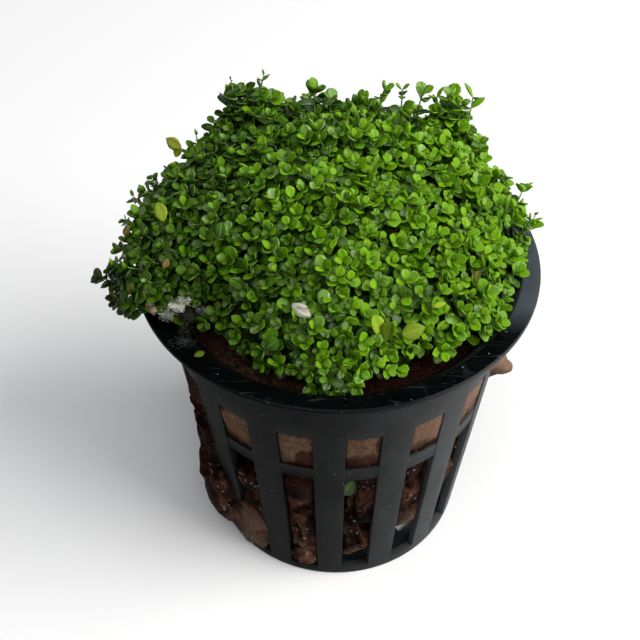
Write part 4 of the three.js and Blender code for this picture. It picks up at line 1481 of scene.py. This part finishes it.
def scatter_tree():
    """Sprigs spread over a surface, no two nearer than the spacing, along their growth."""
    tree, given = new_tree(
        "Tuft", Sprigs="Collection", Spacing="Float", Variants="Int", Smallest="Float",
        Largest="Float", Waver="Float", Depth="Float", Seed="Int",
        Blade="Material", Stem="Material",
    )
    seed = given["Seed"]
    spread = result(tree, "GeometryNodeDistributePointsOnFaces", {
        "Mesh": given["Geometry"], "Distance Min": given["Spacing"], "Density Max": 3.0e6,
        "Density Factor": 1.0, "Seed": seed,
    }, "Points", distribute_method="POISSON")
    waver = random_value(tree, (-1, -1, -1), (1, 1, 1), seed, "FLOAT_VECTOR")
    direction = result(tree, "ShaderNodeVectorMath", {
        0: named(tree, "growth", "FLOAT_VECTOR"), 1: scaled(tree, waver, given["Waver"]),
    }, operation="ADD")
    shift = random_value(tree, -1, 0.35, seed + 3) * given["Depth"]
    tips = result(tree, "GeometryNodeSetPosition", {
        "Geometry": spread, "Offset": scaled(tree, direction, shift),
    })
    rotation = result(
        tree, "FunctionNodeAlignRotationToVector", {"Vector": direction}, axis="Z"
    )
    spin = random_value(tree, 0, 2 * math.pi, seed)
    sprigs = scattered(
        tree, tips, given["Sprigs"], given["Variants"], seed,
        turned(tree, rotation, (0, 0, 1), spin),
        random_value(tree, given["Smallest"], given["Largest"], seed),
    )
    return end_foliage(tree, given, sprigs)


def tangle_mesh(at, lift, foliage, pot, material):
    """The closed mat of old stems below a tuft's leaves, drawn in to the pot's mouth. It also stands for
    the shade under the leaves.
    """
    inset, gap = 2.6 * MM, 0.3 * MM
    over_lip = (24.4 * MM, pot.height + 0.75 * MM)
    in_mouth = (22.6 * MM, pot.height - 1.3 * MM)
    points, faces = tuft_surface(at, lift, foliage.tangle, inset, gap)
    for point in points:
        wobble = noise.fractal(point * 420, 1.0, 2.0, 3) * 0.6 * MM
        point.z = max(point.z + wobble, over_lip[1] + 0.15 * MM)
    last = TUFT_EDGE
    edge = points[TUFT_EDGE:]
    for radius, height in (over_lip, in_mouth):
        faces += ring_faces(last, len(points), TUFT_SPOKES)
        last = len(points)
        for x, y, _ in edge:
            inward = min(1, radius / math.hypot(x, y))
            points.append(Vector((x * inward, y * inward, height)))
    points.append(sum(points[last:], Vector()) / TUFT_SPOKES)
    for spoke in range(TUFT_SPOKES):
        faces.append([last + spoke, len(points) - 1, last + (spoke + 1) % TUFT_SPOKES])
    mesh = mesh_of("tangle", points, faces)
    mesh.materials.append(material)
    return mesh


class Greenery:
    """The finishes, leaf shapes and node trees that all tufts share."""

    def __init__(self, foliage):
        self.foliage = foliage
        self.blade = leaf_material(foliage)
        self.stem = stem_material(foliage)
        self.leaves = {kind: leaf_collection(kind) for kind in LEAF_KINDS}
        self.sprig_tree = sprig_tree()

    def sprig(self, path, kind, seed, **changes):
        """One sprig along a path, as a plain mesh."""
        edges = [(i, i + 1) for i in range(len(path) - 1)]
        return grown_mesh(self.sprig_tree, mesh_of("path", path, edges=edges), {
            "Leaves": self.leaves[kind], "Shapes": len(LEAF_KINDS[kind]), "Pairs": len(path),
            "Leaf length": self.foliage.leaf, "Stem radius": self.foliage.stem,
            "Dryness": 0.006, "Seed": seed, "Blade": self.blade, "Stem": self.stem, **changes,
        })


def common_sprigs(greenery):
    """The different sprigs that are spread over the cushion, their tips at the origin."""
    foliage = greenery.foliage
    rng = np.random.default_rng(11)
    meshes = {}
    for i in range(foliage.variants):
        bend = Vector((*rng.normal(0, 0.10, 2), 0))
        length = foliage.sprig * rng.uniform(0.85, 1.1)
        path = []
        for step in range(foliage.pairs):
            down = (1 - step / (foliage.pairs - 1)) ** 1.5
            path.append(bend * length * down ** 2 + Vector((0, 0, -length * down)))
        meshes["sprig %02d" % i] = greenery.sprig(path, "round", 40 + i, **{
            "Tip share": rng.uniform(0.5, 0.76), "Foot tilt": rng.uniform(-0.15, 0.3),
            "Tip tilt": rng.uniform(0.6, 1.0),
        })
    return helper_collection("sprigs", meshes)


def standing_shoots(greenery, tuft):
    """The shoots that stand clear of one tuft."""
    meshes = []
    root_depth = 3.5 * MM
    for number, (name, (x, y), tip, leaf, pairs, kind) in enumerate(SHOOTS_MM):
        if name != tuft:
            continue
        start = Vector((x * MM, y * MM, dome_height(x * MM, y * MM) - root_depth))
        end = Vector(tip) * MM
        bow = Vector((math.sin(number * 2.1), math.cos(number * 1.3), 0)) * 0.35 * MM
        crowding = 1.8 if kind == "round" else 1.35
        steps = [1 - (1 - i / (pairs - 1)) ** crowding for i in range(pairs)]
        path = [start.lerp(end, t) + bow * math.sin(math.pi * t) for t in steps]
        meshes.append(greenery.sprig(path, kind, 300 + number, **{
            "Leaf length": leaf * MM, "Tip share": 0.72, "Tip tilt": 0.62, "Foot tilt": 0.25,
            "Stem radius": 0.17 * MM, "Dryness": 0.0, "Turn": (1 - pairs) * math.pi / 2,
        }))
    return meshes


def single_leaf(place, length, tip, face, shape, dryness, tint, material):
    """One leaf about its middle, its tip and its face turned as given."""
    mesh = leaf_mesh("single leaf", *LEAF_SHAPES[shape])
    along = Vector(tip).normalized()
    side = Vector(face).cross(along).normalized()
    turn = Matrix((along, side, along.cross(side))).transposed().to_4x4()
    middle = Matrix.Translation((-0.5, 0, 0))
    mesh.transform(Matrix.Translation(place) @ turn @ Matrix.Scale(length, 4) @ middle)
    for name, value in (("dry", dryness), ("tint", tint), ("age", 0.8)):
        set_attribute(mesh, name, [value] * len(mesh.vertices))
    mesh.materials.append(material)
    return mesh


class BABYTEARS_OT_foliage(bpy.types.Operator):
    """Make the fifteen tufts of leafy stems"""
    bl_idname = "baby_tears.foliage"
    bl_label = "Foliage"

    def execute(self, context):
        settings = context.scene.baby_tears
        foliage, pot = settings.foliage, settings.pot
        greenery = Greenery(foliage)
        tangle = tangle_material(foliage)
        sprigs = common_sprigs(greenery)
        scatter = scatter_tree()
        gap = 0.1 * MM
        for number, (tuft, middle, rise) in enumerate(TUFTS_MM):
            at = (middle[0] * MM, middle[1] * MM)
            lift = rise * MM
            points, faces = tuft_surface(at, lift, foliage.sink, -gap, gap)
            hang_skirt(points, faces, at, gap)
            surface = mesh_of("tuft surface", points, faces)
            growth = [growth_direction(v.co, v.normal) for v in surface.vertices]
            set_attribute(surface, "growth", growth, "FLOAT_VECTOR")
            parts = [grown_mesh(scatter, surface, {
                "Sprigs": sprigs, "Spacing": foliage.spacing, "Variants": foliage.variants,
                "Smallest": 0.8, "Largest": 1.15, "Waver": 0.28, "Depth": foliage.depth,
                "Seed": 100 + number, "Blade": greenery.blade, "Stem": greenery.stem,
            })]
            parts += standing_shoots(greenery, tuft)
            for name, place, length, *rest in SINGLE_LEAVES_MM:
                if name == tuft:
                    leaf = single_leaf(Vector(place) * MM, length * MM, *rest, greenery.blade)
                    parts.append(leaf)
            # The dark mat of stems, also standing for the shade under the leaves
            parts.append(tangle_mesh(at, lift, foliage, pot, tangle))
            piece = joined("leafy_stems_" + tuft, parts)
            finish_piece(piece, "leaves", "tuft_" + tuft)
        for helpers in (sprigs, *greenery.leaves.values()):
            remove_helpers(helpers)
        return {"FINISHED"}


# Loose things

def husk_mesh(material):
    """A pale seed husk: ridged, split along its top and frayed at one end."""
    length, width, thickness = (extent * MM for extent in HUSK_MM["size"])
    rows, columns, ridges = 22, 28, 9
    split_width, split_depth = 0.28, 0.42
    points, faces = [], []
    for row in range(rows + 1):
        t = row / rows
        for column in range(columns):
            angle = column * 2 * math.pi / columns
            girth = math.sin(math.pi * min(max(t, 0.02), 0.98)) ** 0.62
            rough = noise.noise(Vector((t * 9, angle * 2, 3)))
            ridge = 1 + 0.05 * math.cos(ridges * angle) + 0.05 * rough
            gape = math.exp(-((angle - math.pi / 2) / split_width) ** 2)
            split = gape * split_depth * math.sin(math.pi * t)
            reach = girth * (ridge - split)
            points.append(Vector((
                (t - 0.5) * length * (1 + 0.03 * math.sin(5 * angle)),
                width / 2 * reach * math.cos(angle), thickness / 2 * reach * math.sin(angle),
            )))
    for row in range(rows):
        faces += ring_faces(row * columns, (row + 1) * columns, columns)
    faces.append(tuple(range(columns)))
    faces.append(tuple(reversed(range(rows * columns, (rows + 1) * columns))))
    mesh = mesh_of("husk", points, faces)
    x, y = HUSK_MM["at"][0] * MM, HUSK_MM["at"][1] * MM
    step = 0.5 * MM
    slope = [
        (dome_height(x + step, y) - dome_height(x - step, y)) / (2 * step),
        (dome_height(x, y + step) - dome_height(x, y - step)) / (2 * step),
    ]
    normal = Vector((-slope[0], -slope[1], 1.4)).normalized()
    lying = Vector((0, 0, 1)).rotation_difference(normal)
    turn = Quaternion((0, 0, 1), math.radians(HUSK_MM["turn"]))
    place = Vector((x, y, dome_height(x, y) - HUSK_MM["sink"] * MM))
    mesh.transform(Matrix.Translation(place) @ (lying @ turn).to_matrix().to_4x4())
    mesh.materials.append(material)
    return mesh


def husk_material(loose):
    """Dry pale husk with brown streaks, lighter at its left end."""
    material, tree, shader = new_material("dry_husk", Roughness=0.6)
    place, x, _, _ = object_place(tree)
    streaks = noise_value(tree, place, 900, 4, 0.6, (0.5, 1, 1), 0.6)
    streaks = streaks + x.band(-2.8, -5.8, -0.05, 0.14)
    wire(shader, Base_Color=ramp(
        tree, streaks, (0.36, loose.husk_brown), (0.46, loose.husk), (0.75, loose.husk_pale)
    ))
    bump(tree, shader, streaks, 0.7, 0.1 * MM)
    return material


def fibre_tree():
    """Fine fibres along curled paths."""
    tree, given = new_tree(
        "Loose fibres", Radius="Float", Curl="Float", Seed="Int", Material="Material"
    )
    path = result(tree, "GeometryNodeMeshToCurve", {"Mesh": given["Geometry"]})
    path = result(tree, "GeometryNodeResampleCurve", {"Curve": path, "Count": 9}, mode="COUNT")
    curl = random_value(tree, (-1, -1, -1), (1, 1, 1), given["Seed"], "FLOAT_VECTOR")
    path = result(tree, "GeometryNodeSetPosition", {
        "Geometry": path, "Offset": scaled(tree, curl, given["Curl"]),
    })
    fibres = tube(tree, path, 3, given["Radius"])
    return end_tree(tree, fibres, (given["Material"], True))


# Loose wool: place, half sizes, fibres, their length and radius, and how pale the tuft is
FLUFF_MM = (
    ((-20.2, -13.2, 52.7), (0.8, 0.45, 0.45), 90, 1.0, 0.026, "white"),
    ((-19.3, -12.6, 53.3), (0.6, 0.4, 0.4), 70, 0.9, 0.026, "white"),
    ((-21.3, -13.9, 52.0), (0.7, 0.4, 0.4), 60, 1.3, 0.026, "pale"),
    ((-19.0, -13.9, 51.8), (0.9, 0.6, 0.5), 110, 1.1, 0.026, "dark"),
    ((-17.3, -13.2, 52.1), (0.5, 0.3, 0.5), 40, 0.8, 0.026, "grey"),
    ((-19.0, -15.4, 50.9), (0.8, 0.9, 0.25), 36, 1.2, 0.026, "dark"),
    ((-19.3, -17.1, 50.32), (1.5, 0.7, 0.1), 26, 1.8, 0.012, "grey"),
)
FLUFF_LUMPS_MM = (
    ((-20.0, -13.0, 52.7), (0.9, 0.4, 0.35), "white"),
    ((-19.1, -13.8, 51.7), (0.95, 0.6, 0.45), "dark"),
    ((-17.2, -13.2, 52.1), (0.65, 0.2, 0.5), "grey"),
    ((-23.4, -13.0, 52.0), (0.6, 0.4, 0.35), "brown"),
    ((-23.9, -12.6, 52.6), (0.35, 0.3, 0.5), "brown"),
)


def fibre_paths(rng, centre, size, count, length):
    """Paths of loose fibres that cross a lump in all directions."""
    floor = POT_HIGH.z / MM + 0.12
    points, edges = [], []
    for _ in range(count):
        start = Vector(centre) + Vector(rng.uniform(-1, 1, 3) * size)
        heading = Vector(rng.normal(0, 1, 3))
        heading.z *= 0.5
        heading.normalize()
        first = len(points)
        for step in range(4):
            x, y, z = start + heading * length * (step / 3 - 0.5)
            points.append(Vector((x, y, max(z, floor))) * MM)
            heading = (heading + Vector(rng.normal(0, 0.5, 3))).normalized()
        edges += [(first + i, first + i + 1) for i in range(3)]
    return mesh_of("paths", points, edges=edges)


def lump_mesh(centre, size, seed, material):
    """A small uneven lump."""

    def moved(place):
        wave = noise.fractal(place * 1.6 + Vector((seed, 0, 0)), 0.8, 2.2, 4)
        return (Vector(centre) + place * (1 + 0.45 * wave) * Vector(size)) * MM

    mesh = ball_mesh("lump", 3, moved)
    mesh.materials.append(material)
    return mesh


def fibre_material(name, colour, dark):
    """Matte loose fibre, patchy between a paler and a darker tone."""
    material, tree, shader = new_material(name, Roughness=0.85, Specular_IOR_Level=0.1)
    place = object_place(tree)[0]
    tone = ramp(tree, noise_value(tree, place, 900), (0.35, dark), (0.6, colour))
    wire(shader, Base_Color=tone)
    bump(tree, shader, noise_value(tree, place, 5000), 0.8, 0.1 * MM)
    return material


class BABYTEARS_OT_loose_things(bpy.types.Operator):
    """Make the husk, the loose wool and the two loose leaves"""
    bl_idname = "baby_tears.loose_things"
    bl_label = "Loose things"

    def execute(self, context):
        settings = context.scene.baby_tears
        loose, plug = settings.loose, settings.plug
        husk = new_object("pale_husk", husk_mesh(husk_material(loose)))
        finish_piece(husk, "husk", "seed_husk")

        rng = np.random.default_rng(5)
        tree = fibre_tree()
        finishes = {
            "white": fibre_material("white_fibre", loose.white_fibre, loose.husk),
            "pale": fibre_material("pale_fibre", loose.pale_fibre, loose.grey_fibre),
            "grey": fibre_material("grey_fibre", loose.grey_fibre, loose.dark_fibre),
            "dark": fibre_material("dark_fibre", loose.dark_fibre, plug.black),
            "brown": fibre_material("pinkish_wool", loose.pink_brown, plug.brown),
        }
        parts = []
        for seed, (centre, size, count, length, radius, shade) in enumerate(FLUFF_MM):
            paths = fibre_paths(rng, centre, size, count, length)
            parts.append(grown_mesh(tree, paths, {
                "Radius": radius * MM, "Curl": 0.09 * MM, "Seed": seed,
                "Material": finishes[shade],
            }))
        for seed, (centre, size, shade) in enumerate(FLUFF_LUMPS_MM):
            parts.append(lump_mesh(centre, size, seed, finishes[shade]))
        finish_piece(joined("loose_wool", parts), "loose_fibre", "wool_fluff")

        blade = leaf_material(settings.foliage)
        shed, caught = FALLEN_LEAF_MM, SLOT_LEAF_MM
        mesh = single_leaf(
            Vector(shed["at"]) * MM, shed["length"] * MM, on_azimuth(shed["turn"] + 90, 1, 0),
            (0.1, -0.1, 1), "oval", 0.1, 0.2, blade,
        )
        finish_piece(new_object("shed_leaf", mesh), "leaves", "fallen_leaf")

        height = caught["height"] * MM
        radius = bore_radius(settings.pot, height) - (0.35 + caught["thickness"] / 2) * MM
        # Its low tint keeps it dark green: painted shade inside the slot
        mesh = single_leaf(
            on_azimuth(caught["azimuth"], radius, height), caught["length"] * MM,
            (-0.35, 0, -0.9), on_azimuth(caught["azimuth"], 1, 0), "oval", 0.06, 0.14, blade,
        )
        finish_piece(new_object("caught_leaf", mesh), "leaves", "leaf_in_slot")
        return {"FINISHED"}


# Stage

# Camera: its place in metres, and its pitch, pan, tilt and roll in radians
CAMERA_AT = (0, -0.10473, 0.14596)
CAMERA_TURNS = (0.7418, -0.0163, -0.0635, 0.0103)
# Lights, in metres
OVERHEAD_AT = Vector((0, -0.45, 1.15))
PANEL_AT = Vector((0.354, 0.76, 0.545))
PANEL_SIZE = 0.36
LIT_POINT = Vector((0, 0, 0.03))


def camera_turn():
    """The camera's rotation, as it looks down on the pot from the front."""
    pitch, pan, tilt, roll = CAMERA_TURNS

    def swung(first, second, angle):
        cosine, sine = math.cos(angle), math.sin(angle)
        return first * cosine + second * sine, second * cosine - first * sine

    forward = Vector((0, math.cos(pitch), -math.sin(pitch)))
    right = Vector((1, 0, 0))
    up = right.cross(forward)
    forward, right = swung(forward, right, pan)
    forward, up = swung(forward, up, tilt)
    right, up = swung(right, up, roll)
    return Matrix((right, up, -forward)).transposed().to_euler()


def area_light(name, place, size, power, colour):
    """A round soft light that faces the pot."""
    light = bpy.data.lights.new(name, "AREA")
    light.shape = "DISK"
    light.size = size
    light.energy = power
    light.color = colour
    thing = new_object(name, light)
    thing.location = place
    thing.rotation_euler = (LIT_POINT - place).to_track_quat("-Z", "Y").to_euler()


class BABYTEARS_OT_stage(bpy.types.Operator):
    """Make the floor, the lights and the camera"""
    bl_idname = "baby_tears.stage"
    bl_label = "Stage"

    def execute(self, context):
        stage = context.scene.baby_tears.stage
        half = stage.floor / 2
        corners = [(-half, -half, 0), (half, -half, 0), (half, half, 0), (-half, half, 0)]
        floor = new_object("floor", mesh_of("floor", corners, [(0, 1, 2, 3)]))
        floor.data.materials.append(new_material(
            "pale_floor", Base_Color=(*stage.floor_colour, 1), Roughness=0.9,
            Specular_IOR_Level=0.0,
        )[0])
        key = on_azimuth(
            math.degrees(stage.key_azimuth), stage.key_distance * math.cos(stage.key_elevation),
            stage.key_distance * math.sin(stage.key_elevation),
        )
        area_light("key", key, stage.key_size, stage.key_power, (1, 0.985, 0.96))
        area_light(
            "overhead", OVERHEAD_AT, stage.fill_size, stage.fill_power, (0.98, 0.985, 1)
        )
        area_light("panel", PANEL_AT, PANEL_SIZE, stage.panel_power, (0.8, 0.92, 1))
        world = bpy.data.worlds.new("room")
        world.use_nodes = True
        wire(world.node_tree.nodes["Background"], Strength=stage.world, Color=(0.98, 0.99, 1, 1))
        context.scene.world = world
        context.scene.view_settings.view_transform = "Standard"
        lens = bpy.data.cameras.new("camera")
        lens.sensor_width = 36
        lens.lens = stage.lens
        lens.clip_start = 0.01
        camera = new_object("camera", lens)
        camera.location = CAMERA_AT
        camera.rotation_euler = camera_turn()
        context.scene.camera = camera
        return {"FINISHED"}


class BABYTEARS_PT_panel(bpy.types.Panel):
    """Settings and steps of the potted plant"""
    bl_idname = "BABYTEARS_PT_panel"
    bl_label = "Potted dwarf baby tears"
    bl_space_type = "VIEW_3D"
    bl_region_type = "UI"
    bl_category = "Baby Tears"

    def draw(self, context):
        settings = context.scene.baby_tears
        for operator in OPERATORS:
            self.layout.operator(operator.bl_idname)
        for label, group in (
            ("Pot", settings.pot), ("Plug", settings.plug), ("Foliage", settings.foliage),
            ("Loose things", settings.loose), ("Stage", settings.stage),
        ):
            box = self.layout.box()
            box.label(text=label)
            for name in group.__annotations__:
                box.prop(group, name)


OPERATORS = (
    BABYTEARS_OT_stage, BABYTEARS_OT_net_pot, BABYTEARS_OT_growing_plug, BABYTEARS_OT_foliage,
    BABYTEARS_OT_loose_things,
)
CLASSES = (
    PotSettings, PlugSettings, FoliageSettings, LooseSettings, StageSettings, BabyTearsSettings,
    *OPERATORS, BABYTEARS_PT_panel,
)


def register():
    for one in CLASSES:
        bpy.utils.register_class(one)
    bpy.types.Scene.baby_tears = bpy.props.PointerProperty(type=BabyTearsSettings)


def unregister():
    del bpy.types.Scene.baby_tears
    for one in reversed(CLASSES):
        bpy.utils.unregister_class(one)


def main():
    """Builds every piece and the stage."""
    register()
    bpy.ops.baby_tears.stage()
    bpy.ops.baby_tears.net_pot()
    bpy.ops.baby_tears.growing_plug()
    bpy.ops.baby_tears.foliage()
    bpy.ops.baby_tears.loose_things()


if __name__ == "__main__":
    main()
